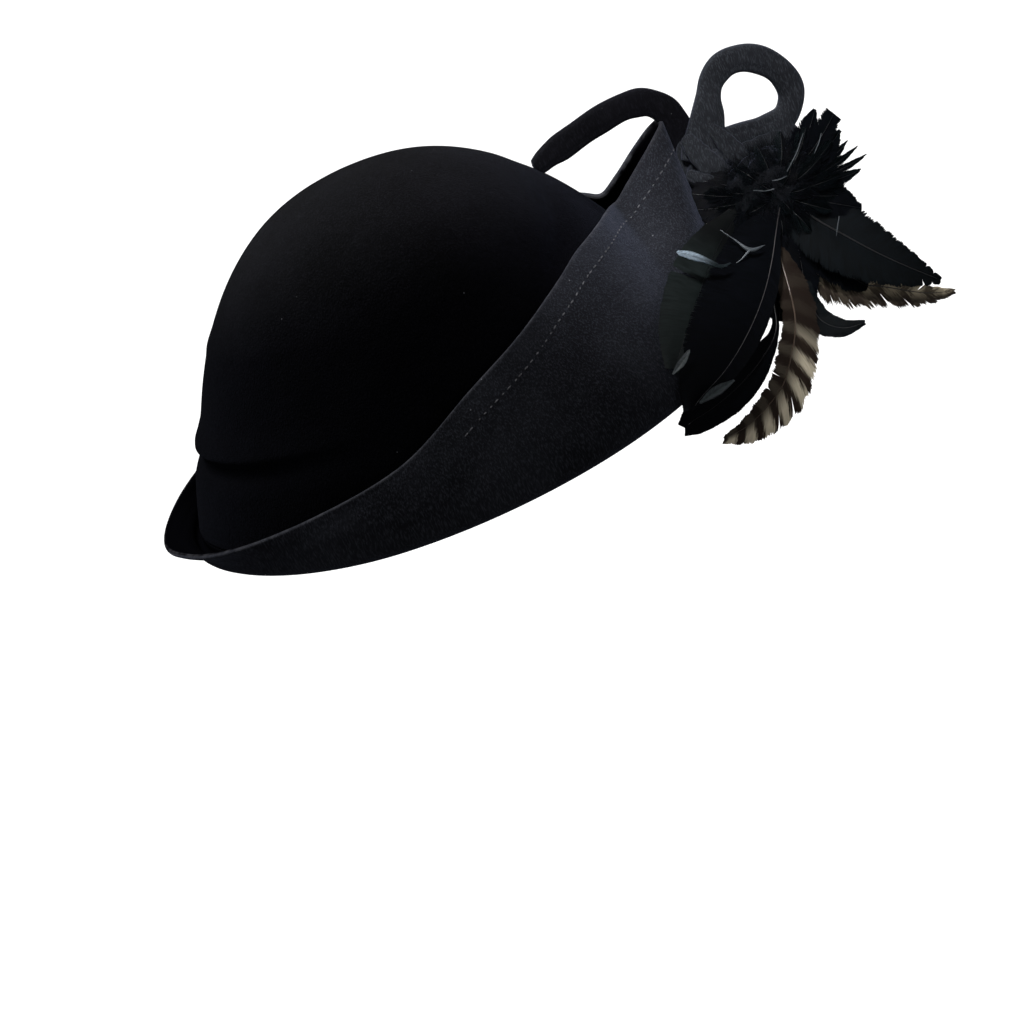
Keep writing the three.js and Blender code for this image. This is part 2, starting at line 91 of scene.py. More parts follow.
def make_piece(name, points, quads, triangles=(), uv=None, marks=None):
    """A smooth mesh object from arrays in millimetres. uv holds one pair a point, and marks holds one
    number a point for each name."""
    quads = np.asarray(quads, np.int32).reshape(-1, 4)
    triangles = np.asarray(triangles, np.int32).reshape(-1, 3)
    corners = np.concatenate([quads.ravel(), triangles.ravel()])
    sizes = np.concatenate([np.full(len(quads), 4), np.full(len(triangles), 3)]).astype(np.int32)
    mesh = bpy.data.meshes.new(name)
    mesh.vertices.add(len(points))
    mesh.vertices.foreach_set("co", (np.asarray(points) * MM).astype(np.float32).ravel())
    mesh.loops.add(len(corners))
    mesh.loops.foreach_set("vertex_index", corners)
    mesh.polygons.add(len(sizes))
    mesh.polygons.foreach_set("loop_start", np.concatenate([[0], np.cumsum(sizes)[:-1]]).astype(np.int32))
    mesh.polygons.foreach_set("use_smooth", np.ones(len(sizes), bool))
    mesh.update(calc_edges=True)
    mesh.validate()
    if uv is not None:
        layer = mesh.uv_layers.new(name="strand")
        layer.data.foreach_set("uv", np.asarray(uv, np.float32)[corners].ravel())
    for key, values in (marks or {}).items():
        attribute = mesh.attributes.new(key, "FLOAT", "POINT")
        attribute.data.foreach_set("value", np.asarray(values, np.float32))
    piece = bpy.data.objects.new(name, mesh)
    bpy.context.scene.collection.objects.link(piece)
    return piece


def grid_faces(rows, columns, close_rows=False, close_columns=True):
    """Quads between neighbouring points of a grid that is numbered row by row."""
    r = np.arange(rows if close_rows else rows - 1)
    c = np.arange(columns if close_columns else columns - 1)
    r, c = [g.ravel() for g in np.meshgrid(r, c, indexing="ij")]
    below, beside = (r + 1) % rows, (c + 1) % columns
    row, next_row = r * columns, below * columns
    return np.stack([row + c, row + beside, next_row + beside, next_row + c], 1)


def copies(faces, size, count):
    """One body's faces, repeated for count bodies that have size points each."""
    return (faces[None] + size * np.arange(count)[:, None, None]).reshape(-1, faces.shape[1])


def facing_out(points, quads, triangles=()):
    """The same faces, turned round if the volume they enclose comes out negative."""
    quads, triangles = np.asarray(quads).reshape(-1, 4), np.asarray(triangles, int).reshape(-1, 3)
    halves = np.concatenate([quads[:, [0, 1, 2]], quads[:, [0, 2, 3]], triangles])
    a, b, c = points[halves[:, 0]], points[halves[:, 1]], points[halves[:, 2]]
    if np.einsum("ij,ij->i", a, np.cross(b, c)).sum() < 0:
        return quads[:, ::-1], triangles[:, ::-1]
    return quads, triangles


def finish_piece(piece, material, slot, *solids):
    """Gives a piece its material, hangs it under the root empty, and hides the solids it stands for."""
    piece.data.materials.append(material)
    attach(piece, "root")
    if solids:
        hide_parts(*solids)
    print(piece.name, len(piece.data.vertices), "points", len(piece.data.polygons), "faces")


def smoothstep(value, low, high):
    """0 below low, 1 above high, and 3t^2 - 2t^3 between them."""
    t = np.clip((value - low) / (high - low), 0, 1)
    return t * t * (3 - 2 * t)


def cubic(t, h, value, slope, i):
    """The cubic between rows i and i + 1 at share t of their step h, from the values and slopes at both."""
    start = (2 * t**3 - 3 * t**2 + 1) * value[i] + (t**3 - 2 * t**2 + t) * h * slope[i]
    end = (3 * t**2 - 2 * t**3) * value[i + 1] + (t**3 - t**2) * h * slope[i + 1]
    return start + end


def read_table(rows, at, level_ends=True):
    """Smooth values of a table at many places. The first column is the place. Each other column is a cubic
    between rows, whose slope at a row is the harmonic mean of its neighbours' slopes, and 0 where they
    turn back."""
    rows = np.asarray(rows, float)
    place, value = rows[:, 0], rows[:, 1:]
    step = np.diff(place)[:, None]
    slope = np.diff(value, axis=0) / step
    before, after = slope[:-1], slope[1:]
    turning = before * after <= 0
    inner = np.where(turning, 0, 2 * before * after / np.where(turning, 1, before + after))
    zero = np.zeros_like(slope[:1])
    tangent = np.concatenate([zero if level_ends else slope[:1], inner, zero if level_ends else slope[-1:]])
    at = np.asarray(at, float)
    i = np.clip(np.searchsorted(place, at, side="left") - 1, 0, len(place) - 2)
    h = step[i]
    t = np.clip((at[..., None] - place[i][..., None]) / h, 0, 1)
    return cubic(t, h, value, tangent, i)


def unit(vectors):
    return vectors / np.maximum(np.linalg.norm(vectors, axis=-1, keepdims=True), 1e-12)


def sampled(at, run, rows):
    """The rows of a line, read between at many runs along it."""
    return np.stack([np.interp(at, run, rows[:, k]) for k in range(3)], -1)


def circle(sides):
    return np.linspace(0, 2 * np.pi, sides, endpoint=False)


def about_axis(radius, turn, z):
    """Points at a radius, a turn and a height about the hat's upright axis."""
    radius, turn, z = np.broadcast_arrays(radius, turn, z)
    return np.stack([radius * np.cos(turn), radius * np.sin(turn), z], -1)


def ball_grid(rows, columns, pole):
    """Polar angle, turn and outward way of a ball's grid, which stops short of each pole by an angle."""
    polar, turn = np.meshgrid(np.linspace(pole, np.pi - pole, rows), circle(columns), indexing="ij")
    way = np.stack([np.sin(polar) * np.cos(turn), np.sin(polar) * np.sin(turn), np.cos(polar)], -1)
    return polar, turn, way


# %% [markdown]
# Materials. Wool felt is a mat of fine fibres: almost black, with a faint blue bloom where the nap
# catches light, and pale specks of lint. The nap, the mottling and the lint are one node group that
# every felt material uses with its own values. The group reads object coordinates, squeezed along Z,
# so that the fibres stand upright as they do on a brushed hat.

# %% Node helpers and the felt group


def add_node(tree, kind, inputs=None, **settings):
    """One shader node. inputs maps a socket's name or number to a value or to another node's output."""
    node = tree.nodes.new(kind)
    for key, value in settings.items():
        setattr(node, key, value)
    for key, value in (inputs or {}).items():
        if isinstance(value, bpy.types.NodeSocket):
            tree.links.new(value, node.inputs[key])
        else:
            node.inputs[key].default_value = value
    return node


def arithmetic(tree, operation, a, b=0.0):
    return add_node(tree, "ShaderNodeMath", {0: a, 1: b}, operation=operation).outputs[0]


def plus(tree, a, b):
    return arithmetic(tree, "ADD", a, b)


def times(tree, a, b):
    return arithmetic(tree, "MULTIPLY", a, b)


def rest_of(tree, value):
    """What is left of 1."""
    return arithmetic(tree, "SUBTRACT", 1.0, value)


def object_place(tree):
    return add_node(tree, "ShaderNodeTexCoord").outputs["Object"]


def mark(tree, name):
    """The number that a piece keeps at each point under this name."""
    return add_node(tree, "ShaderNodeAttribute", attribute_name=name).outputs["Fac"]


def noise(tree, vector, scale=1.0, detail=2.0, roughness=0.5):
    return add_node(tree, "ShaderNodeTexNoise", {"Vector": vector, "Scale": scale, "Detail": detail,
                    "Roughness": roughness}).outputs["Fac"]


def emboss(tree, shader, strength, distance, height):
    """A bump on the shader's normal; the distance is in metres."""
    bump = add_node(tree, "ShaderNodeBump", {"Strength": strength, "Distance": distance, "Height": height})
    tree.links.new(bump.outputs[0], shader.inputs["Normal"])


def stretch(tree, vector, scale):
    return add_node(tree, "ShaderNodeMapping", {"Vector": vector, "Scale": scale}).outputs[0]


def ramp(tree, value, low, high):
    """0 at low, 1 at high, clamped and smooth."""
    node = add_node(tree, "ShaderNodeMapRange", {"Value": value, "From Min": low, "From Max": high},
                    interpolation_type="SMOOTHSTEP")
    return node.outputs[0]


def blend_colours(tree, share, a, b):
    node = add_node(tree, "ShaderNodeMix", {"Factor": share}, data_type="RGBA")
    for socket, value in ((node.inputs[6], a), (node.inputs[7], b)):
        if isinstance(value, bpy.types.NodeSocket):
            tree.links.new(value, socket)
        else:
            socket.default_value = (*value, 1)
    return node.outputs[2]


def new_group(name, inputs, outputs):
    """An empty node group with float or vector sockets, and its two end nodes."""
    group = bpy.data.node_groups.new(name, "ShaderNodeTree")
    for label, kind, value in inputs:
        socket = group.interface.new_socket(label, in_out="INPUT", socket_type="NodeSocket" + kind)
        if value is not None:
            socket.default_value = value
    for label, kind in outputs:
        group.interface.new_socket(label, in_out="OUTPUT", socket_type="NodeSocket" + kind)
    return group, group.nodes.new("NodeGroupInput"), group.nodes.new("NodeGroupOutput")


def build_felt_group():
    group, start, end = new_group(
        "felt nap",
        [("Place", "Vector", None), ("Nap", "Float", 1.0), ("Lint", "Float", 1.0)],
        [("Height", "Float"), ("Mottle", "Float"), ("Specks", "Float")],
    )
    place = start.outputs["Place"]
    fibres = noise(group, stretch(group, place, (2300, 2300, 420)), detail=3.0, roughness=0.6)
    crossed = noise(group, stretch(group, place, (900, 900, 1500)))
    pressed = noise(group, place, 210.0, detail=4.0)
    clouds = noise(group, place, 38.0, detail=3.0)
    nap = times(group, fibres, start.outputs["Nap"])
    height = plus(group, nap, times(group, crossed, 0.5))
    height = plus(group, height, times(group, pressed, 1.2))
    streaks = ramp(group, fibres, 0.46, 0.68)
    mottle = plus(group, times(group, ramp(group, clouds, 0.3, 0.7), 0.25),
                        times(group, streaks, 0.75))
    dots = add_node(group, "ShaderNodeTexVoronoi", {"Vector": place, "Scale": 260.0, "Randomness": 1.0})
    chosen = add_node(group, "ShaderNodeSeparateColor", {"Color": dots.outputs["Color"]}).outputs[0]
    near = rest_of(group, ramp(group, dots.outputs["Distance"], 0.03, 0.08))
    picked = arithmetic(group, "GREATER_THAN", chosen, 0.955)
    specks = times(group, times(group, near, picked), start.outputs["Lint"])
    group.links.new(height, end.inputs["Height"])
    group.links.new(mottle, end.inputs["Mottle"])
    group.links.new(specks, end.inputs["Specks"])
    return group


FELT_GROUP = build_felt_group()


def new_material(name, values):
    """A material, its tree and its shader, whose sockets get the given values."""
    material = bpy.data.materials.new(name)
    material.use_nodes = True
    tree = material.node_tree
    shader = tree.nodes["Principled BSDF"]
    for key, value in values.items():
        shader.inputs[key].default_value = value
    return material, tree, shader


# FELT_SHINE is the felt's own; the second shine is the crown's below the band of painted highlight on its
# top. Of the two colours below, the second is a painted highlight for the brim's cut edge.
FELT_SHINE, SHINE_BELOW_LIT_TOP = 0.06, 0.015
LINT, CUT_EDGE_HIGHLIGHT = (0.16, 0.165, 0.18), (0.055, 0.055, 0.062)


def felt_material(name, dark, light, nap=1.0, lint=1.0, sheen=0.35, bump=0.35, edge_highlight=0.0, inner=None,
                  lit_top=None):
    """Dark felt: two near blacks mixed by the mottle, lint specks on top, and sheen. Where a brim marks
    them, its inner face takes a colour of its own and its cut edge gets a paler colour, a painted highlight.
    The last argument gives two heights in metres and a colour: between them the nap turns to that colour
    and shines more, a painted highlight for the light that falls on a crown's top."""
    material, tree, shader = new_material(name, {
        "Roughness": 0.92, "Specular IOR Level": FELT_SHINE, "Sheen Weight": sheen, "Sheen Roughness": 0.45,
        "Sheen Tint": (0.42, 0.48, 0.72, 1)})
    place = object_place(tree)
    felt = add_node(tree, "ShaderNodeGroup", {"Place": place, "Nap": nap, "Lint": lint}, node_tree=FELT_GROUP)
    mottle = felt.outputs["Mottle"]
    colour = blend_colours(tree, mottle, dark, light)
    # painted highlight: between the two heights the colour turns lighter and bluer and the shine rises, for
    # the light that falls on the crown's top
    if lit_top:
        low, high, lit_colour = lit_top
        share = ramp(tree, add_node(tree, "ShaderNodeSeparateXYZ", {0: place}).outputs[2], low, high)
        colour = blend_colours(tree, times(tree, share, ramp(tree, mottle, 0.0, 0.9)), colour, lit_colour)
        shine = plus(tree, times(tree, share, FELT_SHINE), SHINE_BELOW_LIT_TOP)
        tree.links.new(shine, shader.inputs["Specular IOR Level"])
    if inner:
        inside = mark(tree, "inner_face")
        colour = blend_colours(tree, inside, colour, inner)
        outside = rest_of(tree, inside)
        tree.links.new(times(tree, outside, FELT_SHINE), shader.inputs["Specular IOR Level"])
        tree.links.new(times(tree, outside, sheen), shader.inputs["Sheen Weight"])
    # painted highlight: a paler colour along the brim's cut edge, broken by noise, for the light the edge
    # catches
    if edge_highlight:
        uneven = ramp(tree, noise(tree, place, 240.0, detail=3.0), 0.25, 0.75)
        share = times(tree, times(tree, mark(tree, "cut_edge"), uneven), edge_highlight)
        colour = blend_colours(tree, share, colour, CUT_EDGE_HIGHLIGHT)
    colour = blend_colours(tree, felt.outputs["Specks"], colour, LINT)
    tree.links.new(colour, shader.inputs["Base Color"])
    emboss(tree, shader, bump, 0.0006, felt.outputs["Height"])
    return material


# The crown's band from 62 to 104 mm takes a lighter, bluer colour and more shine: a painted highlight for the
# light from above.
crown_felt = felt_material("black felt of the crown", (0.0006, 0.0006, 0.0010), (0.0022, 0.0022, 0.0034),
                           nap=1.7, lint=0.5, sheen=0.015, bump=0.6,
                           lit_top=(0.062, 0.104, (0.0085, 0.0087, 0.0115)))
# its cut edge gets a painted highlight, a paler colour
brim_felt = felt_material("black felt of the brim", (0.0045, 0.0048, 0.0062), (0.0260, 0.0280, 0.0355),
                          nap=1.5, lint=0.8, sheen=0.08, bump=0.45, edge_highlight=0.5,
                          inner=(0.0012, 0.0012, 0.0018))
# The strap and the bow loop are the same felt: the strap's copy is darkened as painted shade, and the copy
# for the bow loop and knot is lightened as painted light.
shaded_strap_felt = felt_material("strap felt darkened as painted shade", (0.0010, 0.0010, 0.0016), (0.0050, 0.0051, 0.0072),
                           nap=0.8, lint=0.3, sheen=0.04)
lit_trim_felt = felt_material("bow and knot felt lightened as painted light", (0.0070, 0.0078, 0.0095),
                          (0.0270, 0.0295, 0.0350), nap=0.8, lint=0.3, sheen=0.12)

# %% [markdown]
# The crown is a blocked felt dome. In plan it is an oval that is longer behind than in front, and
# every height has the same oval, shrunk by one smooth profile. A crease runs round the back, and two
# soft furrows run down from the strap. A dome like this could be sculpted, but the same few formulas as
# in the solid keep its form. Only the crease fades more slowly on its way round, and small uneven waves of
# hand-blocked felt are added.

# %% Crown
FELT = 2.0
GAP = 0.35
CROWN_FRONT, CROWN_BACK, CROWN_SIDE, CROWN_HEIGHT = 106.0, 105.0, 83.0, 105.5
CROWN_TAPER, CROWN_ROUNDNESS, CROWN_FOOT = 1.1, 2.42, 8.0
BACK_CREASE = [(0, 0), (0.24, 0.1), (0.28, -0.35), (0.31, -1.3), (0.335, -0.7), (0.36, 0.35), (0.39, -0.1),
               (0.44, -0.6), (0.54, -0.4), (0.62, -0.1), (0.65, 0.2), (0.7, 0), (1, 0)]
CREASE_SPREAD, CREASE_FULL = 70.0, 7.0  # degrees from the back: where it ends, and where it is whole
FURROW_DEPTH, FURROW_WIDTH = 2.6, 8.0
FURROW_TOP, FURROW_BOTTOM = (0.72, 17.0), (0.46, 54.0)


def oval(turn, front, back, side):
    """Radius of an oval with unlike front and back halves."""
    length = np.where(np.cos(turn) > 0, front, back)
    return 1 / np.hypot(np.cos(turn) / length, np.sin(turn) / side)


def from_front(turn):
    """Degrees away from the front, the same on both sides."""
    return np.degrees(np.abs(np.arctan2(np.sin(turn), np.cos(turn))))


def crown_radius(turn, rise):
    """The oval times (1 - rise^taper)^(1/roundness), plus the back crease, less the two furrows."""
    plain = oval(turn, CROWN_FRONT, CROWN_BACK, CROWN_SIDE) * (1 - rise**CROWN_TAPER) ** (1 / CROWN_ROUNDNESS)
    away = from_front(turn)
    fade = smoothstep(away, 180 - CREASE_SPREAD, 180 - CREASE_FULL)
    crease = read_table(BACK_CREASE, rise)[..., 0] * FELT * fade
    along = (FURROW_TOP[0] - rise) / (FURROW_TOP[0] - FURROW_BOTTOM[0])
    centre = FURROW_TOP[1] + along * (FURROW_BOTTOM[1] - FURROW_TOP[1])
    ends = smoothstep(along, -0.5, 0.15) * (1 - smoothstep(along, 0.6, 1.4))
    dent = FURROW_DEPTH * ends * np.exp(-(((away - centre) / FURROW_WIDTH) ** 2))
    return plain + crease - dent


# weight, waves round the hat, waves up it, and where they start
WAVES = [(1, 3, 5, 0.7), (0.7, 5, -9, 2.1), (0.5, 9, 13, 4.4), (0.35, 14, -21, 1.3)]
CROWN_WAVE, BRIM_WAVE = 0.35, 0.45


def waves(turn, rise, amount):
    """Small uneven waves of hand-shaped felt: a few sines of the turn and the height, added up."""
    return amount * sum(weight * np.sin(across * turn + up * rise + start)
                        for weight, across, up, start in WAVES) / 2.5


def crown_point(turn, lift):
    """Out by the radius at that height; the height is sin(lift * 90 degrees)^(2 / taper) of the crown's."""
    rise = np.minimum(np.sin(lift * np.pi / 2) ** (2 / CROWN_TAPER), 1)
    radius = crown_radius(turn, rise) + waves(turn, rise, CROWN_WAVE) * smoothstep(1 - lift, 0, 0.2)
    return about_axis(radius, turn, rise * CROWN_HEIGHT)


def inset(surface, turn, lift, depth, step=0.002):
    """Points moved in along the surface's own normal, the cross product of its two directions."""
    low, high = np.maximum(lift - step, 0), np.minimum(lift + step, 1 - step / 2)
    around = surface(turn + step, lift) - surface(turn - step, lift)
    upward = surface(turn, high) - surface(turn, low)
    return surface(turn, lift) - unit(np.cross(around, upward)) * depth


def crown_arrays(columns=300, rows=130):
    """Outside rows from the foot up, a point on top, then the inside rows, and a point under the top."""
    foot = np.arcsin((CROWN_FOOT / CROWN_HEIGHT) ** (CROWN_TAPER / 2)) * 2 / np.pi
    turn = np.linspace(-np.pi, np.pi, columns, endpoint=False)[None, :]
    lift = np.linspace(foot, 0.995, rows)[:, None]
    turn, lift = np.broadcast_arrays(turn, lift)
    outside = crown_point(turn, lift)
    inside = inset(crown_point, turn, lift, FELT)
    inside[0, :, 2] = CROWN_FOOT
    loop = np.concatenate([outside[::-1], inside])
    points = np.concatenate([loop.reshape(-1, 3), [[0, 0, CROWN_HEIGHT], [0, 0, CROWN_HEIGHT - FELT]]])
    quads = grid_faces(2 * rows, columns)
    top, under = len(points) - 2, len(points) - 1
    c = np.arange(columns)
    last = (2 * rows - 1) * columns
    fans = np.concatenate([
        np.stack([np.full(columns, top), (c + 1) % columns, c], 1),
        np.stack([np.full(columns, under), last + c, last + (c + 1) % columns], 1),
    ])
    return points, quads, fans


points, quads, fans = crown_arrays()
crown = make_piece("felt_crown", points, *facing_out(points, quads, fans))
finish_piece(crown, crown_felt, "felt_crown", "crown")

# %% [markdown]
# The brim starts at the crown's foot, folds under and stands up all round, low at the back and drawn
# into a pinched peak in front. Lines run from the fold to the cut edge; in front their upper ends draw
# together, which makes the peak. One closed section is carried round the opening: lip, fold, wall and
# back down the inside. The wall's top rows are marked for the cut edge's painted highlight, a paler colour.

# %% Brim
FOLD_FRONT, FOLD_BACK, FOLD_SIDE, FOLD_BACK_LIFT = 113.5, 107.0, 91.5, 2.0
PEAK_HEIGHT, BRIM_BULGE = 75.0, 1.5
# turn on the fold, turn on the edge, reach as a share of the fold's front, rise as a share of the peak
BRIM_EDGE = [
    (0, 0, 0.985, 1), (5, 2.1, 0.977, 0.998), (10, 3.2, 0.949, 0.979), (18, 4.4, 0.884, 0.915),
    (27, 5.5, 0.797, 0.821), (34, 7, 0.738, 0.767), (40, 12, 0.712, 0.779), (46, 22.6, 0.683, 0.788),
    (50, 29.7, 0.664, 0.784), (55, 38.2, 0.645, 0.772), (61, 47.4, 0.635, 0.735), (66, 54.1, 0.631, 0.704),
    (76, 70.7, 0.652, 0.631), (90, 87.8, 0.682, 0.541), (110, 110, 0.76, 0.369), (130, 130, 0.837, 0.283),
    (150, 150, 0.922, 0.197), (165, 165, 0.982, 0.14), (180, 180, 1.018, 0.105),
]


def fold_bend(turn):
    """Half the room between the fold's oval and the crown's foot."""
    foot = crown_radius(turn, np.full_like(turn, CROWN_FOOT / CROWN_HEIGHT))
    return (oval(turn, FOLD_FRONT, FOLD_BACK, FOLD_SIDE) - foot) / 2


def fold_level(turn):
    return fold_bend(turn) + FELT / 2 + FOLD_BACK_LIFT * smoothstep(from_front(turn), 115, 165)


def brim_point(turn, lift):
    """Between the fold and the edge: outward the share is lift^bulge, upward it is lift itself."""
    away = from_front(turn)
    shape = read_table(BRIM_EDGE, away)
    side = np.where(np.sin(turn) < 0, -1, 1)
    edge_turn = np.radians(read_table(BRIM_EDGE, away, level_ends=False)[..., 0]) * side
    reach, top = FOLD_FRONT * shape[..., 1], PEAK_HEIGHT * shape[..., 2]
    low = about_axis(oval(turn, FOLD_FRONT, FOLD_BACK, FOLD_SIDE), turn, fold_level(turn))
    high = about_axis(reach, edge_turn, top)
    share = np.stack([lift**BRIM_BULGE, lift**BRIM_BULGE, lift], -1)
    return low + (high - low) * share


def brim_waves(turn, lift):
    """The waves of the brim's wall, which are level at the fold."""
    return (waves(turn, lift * 0.6, BRIM_WAVE) * smoothstep(lift, 0, 0.5))[..., None]


def brim_arrays(count=420, bend_rows=14, wall_rows=46):
    """The closed section at every turn; turns crowd towards the peak. The edge is a low half round."""
    side = np.linspace(-1, 1, count, endpoint=False)
    turn = np.sign(side) * np.pi * np.abs(side) ** 1.25
    lip = crown_radius(turn, np.full_like(turn, CROWN_FOOT / CROWN_HEIGHT))
    bend, level = fold_bend(turn), fold_level(turn)
    centre = lip + bend - FELT / 2
    angle = np.linspace(np.pi, 2 * np.pi, bend_rows)[:, None]

    foot = np.full_like(lip, CROWN_FOOT - GAP)
    half = FELT / 2
    low = [about_axis(lip - FELT, turn, foot)[None],
           about_axis(centre + (bend + half) * np.cos(angle), turn, level + (bend + half) * np.sin(angle))]
    high = [about_axis(lip, turn, foot)[None],
            about_axis(centre + (bend - half) * np.cos(angle), turn, level + (bend - half) * np.sin(angle))]
    lift = np.linspace(0, 1, wall_rows + 1)[1:, None]
    turns, lifts = np.broadcast_arrays(turn[None, :], lift)
    outer = brim_point(turns, lifts)
    outward = unit(outer - inset(brim_point, turns, lifts, FELT))
    outer = outer + outward * brim_waves(turns, lifts)
    inner = outer - outward * FELT
    middle, across = (outer[-1] + inner[-1]) / 2, (outer[-1] - inner[-1]) / 2
    rising = unit(outer[-1] - outer[-2])
    bead = np.linspace(0, np.pi, 7)[1:-1, None, None]
    edge = middle + across * np.cos(bead) + rising * 0.7 * np.sin(bead)
    rows = np.concatenate([*low, outer, edge, inner[::-1], high[1][::-1], high[0]])
    marks = np.zeros(rows.shape[:2])
    first_edge = 1 + bend_rows + wall_rows
    marks[first_edge - 1:first_edge + 6] = 0.5
    marks[first_edge:first_edge + 5] = 1
    inner_marks = np.zeros(rows.shape[:2])
    inner_marks[first_edge + 3:] = 1
    return rows, marks, inner_marks


rows, cut_marks, inner_marks = brim_arrays()
points = rows.reshape(-1, 3)
quads, _ = facing_out(points, grid_faces(*rows.shape[:2], close_rows=True))
brim_marks = {"cut_edge": cut_marks.ravel(), "inner_face": inner_marks.ravel()}
brim = make_piece("felt_brim", points, quads, marks=brim_marks)
finish_piece(brim, brim_felt, "felt_brim", "brim")

# %% [markdown]
# A line of machine stitches holds the brim's edge turned and firm. On the real hat it is one thread
# that dips in and out of the felt, so only short dashes show. Each dash here is a small lozenge that
# lies along the wall, half sunk, a fixed way below the cut edge. They are one joined mesh.

# %% Stitches
STITCH_DEPTH, STITCH_PITCH, STITCH_LENGTH = 9.6, 3.1, 2.0
STITCH_RINGS, STITCH_SIDES = 4, 6


def line_below_edge(turn, depth):
    """The point of the wall that lies a given way below the edge, by measuring along each wall line."""
    lift = np.linspace(0.3, 1, 240)
    turns, lifts = np.meshgrid(turn, lift, indexing="ij")
    path = brim_point(turns, lifts)
    left = np.cumsum(np.linalg.norm(np.diff(path[:, ::-1], axis=1), axis=2), axis=1)
    index = np.argmax(left > depth, axis=1)
    return lift[::-1][index]


def stitch_arrays(side):
    """Dashes at an even pitch on one half of the brim, each a lozenge of four rings with six sides."""
    turn = side * np.radians(np.linspace(4, 96, 1500))
    lift = line_below_edge(turn, STITCH_DEPTH)
    line = brim_point(turn, lift)
    normal = unit(line - inset(brim_point, turn, lift, FELT))
    line = line + normal * brim_waves(turn, lift)
    length = np.concatenate([[0], np.cumsum(np.linalg.norm(np.diff(line, axis=0), axis=1))])
    rng = np.random.default_rng(5)
    starts = np.arange(1, length[-1] - 4, STITCH_PITCH)
    starts = starts + rng.uniform(-0.4, 0.4, len(starts))
    share = np.array([0, 0.25, 0.75, 1])[None]
    at = starts[:, None] + share * rng.uniform(0.4, 1, (len(starts), 1)) * STITCH_LENGTH
    place = sampled(at, length, line)
    out = unit(sampled(at, length, normal))
    along = unit(place[:, -1:] - place[:, :1])
    beside = np.cross(out, along)
    width = np.array([0.05, 0.22, 0.22, 0.05])[None, :, None, None]
    angle = circle(STITCH_SIDES)[None, None, :, None]
    ring = beside[:, :, None] * np.cos(angle) + out[:, :, None] * np.sin(angle)
    return place[:, :, None] + out[:, :, None] * 0.05 + ring * width


dashes = np.concatenate([stitch_arrays(-1), stitch_arrays(1)])
size = STITCH_RINGS * STITCH_SIDES
k = np.arange(1, STITCH_SIDES - 1)
last = size - STITCH_SIDES
caps = np.concatenate([np.stack([0 * k, k + 1, k], 1), np.stack([last + 0 * k, last + k, last + k + 1], 1)])
quads = copies(grid_faces(STITCH_RINGS, STITCH_SIDES), size, len(dashes))
caps = copies(caps, size, len(dashes))
thread, tree, shader = new_material("grey sewing thread", {"Roughness": 0.7})
twist = ramp(tree, noise(tree, object_place(tree), 900.0), 0.3, 0.7)
tree.links.new(blend_colours(tree, twist, (0.018, 0.018, 0.022), (0.075, 0.075, 0.085)),
               shader.inputs["Base Color"])
points = dashes.reshape(-1, 3)
stitches = make_piece("brim_stitches", points, *facing_out(points, quads, caps))
finish_piece(stitches, thread, "felt_brim")

# %% [markdown]
# The strap and the bow loop are strips of the same felt, folded over and pressed, so their section is
# a soft rectangle with a fold line along one side. A strip is a section carried along a route: the
# route is a smooth curve through a few stations, its width lies in the hat's middle plane, and both
# ends close to a point that the neighbouring piece hides.

# %% Strap and bow loop
STRAP_WIDTH = 10.0


def smooth_route(stations, count):
    """A curve through the stations: cubic between them, with each slope taken from its two neighbours,
    and the spacing given by the square root of the distance, which keeps it from overshooting."""
    stations = np.asarray(stations, float)
    gaps = np.linalg.norm(np.diff(stations[:, :3], axis=0), axis=1)
    knots = np.concatenate([[0], np.cumsum(gaps**0.5)])
    slope = np.gradient(stations, knots, axis=0)
    even = np.interp(np.linspace(0, 1, count), np.linspace(0, 1, len(knots)), knots)
    i = np.clip(np.searchsorted(knots, even, side="right") - 1, 0, len(knots) - 2)
    h = (knots[i + 1] - knots[i])[:, None]
    t = (even - knots[i])[:, None] / h
    return cubic(t, h, stations, slope, i)


def strip_arrays(stations, count, thickness, fold_depth=0.3, sides=48, power=2.8):
    """A superellipse, |across|^p + |through|^p = 1, carried along the route, with a groove for the fold."""
    route = smooth_route(stations, count)
    place, wide = route[:, :3], route[:, 3]
    along = unit(np.gradient(place, axis=0))
    outward = unit(np.cross([0, 1, 0], along))
    sideways = unit(np.cross(along, outward))
    angle = circle(sides)
    c, s = np.cos(angle), np.sin(angle)
    across = np.sign(c) * np.abs(c) ** (2 / power)
    through = np.sign(s) * np.abs(s) ** (2 / power)
    groove = np.exp(-(((across - 0.5) / 0.12) ** 2)) - 0.5 * np.exp(-(((across - 0.2) / 0.2) ** 2))
    groove = fold_depth * groove * (through < -0.3)
    share = np.linspace(0, 1, count)
    taper = np.minimum(1, np.minimum(share, 1 - share) * count / 3) ** 0.5
    half_wide = (STRAP_WIDTH / 2 * wide * taper)[:, None]
    half_thick = (thickness / 2 * taper)[:, None] + 0 * angle
    ripple = 1 + 0.03 * np.sin(share * 40)[:, None]
    depth = through * half_thick + groove * taper[:, None]
    return (place[:, None] + outward[:, None] * (half_wide * across)[..., None] * ripple[..., None]
            + sideways[:, None] * depth[..., None])


def capped(rows):
    """A tube of rings with a point at each end."""
    count, sides = rows.shape[:2]
    points = np.concatenate([rows.reshape(-1, 3), rows[0].mean(0)[None], rows[-1].mean(0)[None]])
    k = np.arange(sides)
    end = (count - 1) * sides
    fans = np.concatenate([
        np.stack([np.full(sides, len(points) - 2), (k + 1) % sides, k], 1),
        np.stack([np.full(sides, len(points) - 1), end + k, end + (k + 1) % sides], 1),
    ])
    return points, *facing_out(points, grid_faces(count, sides), fans)


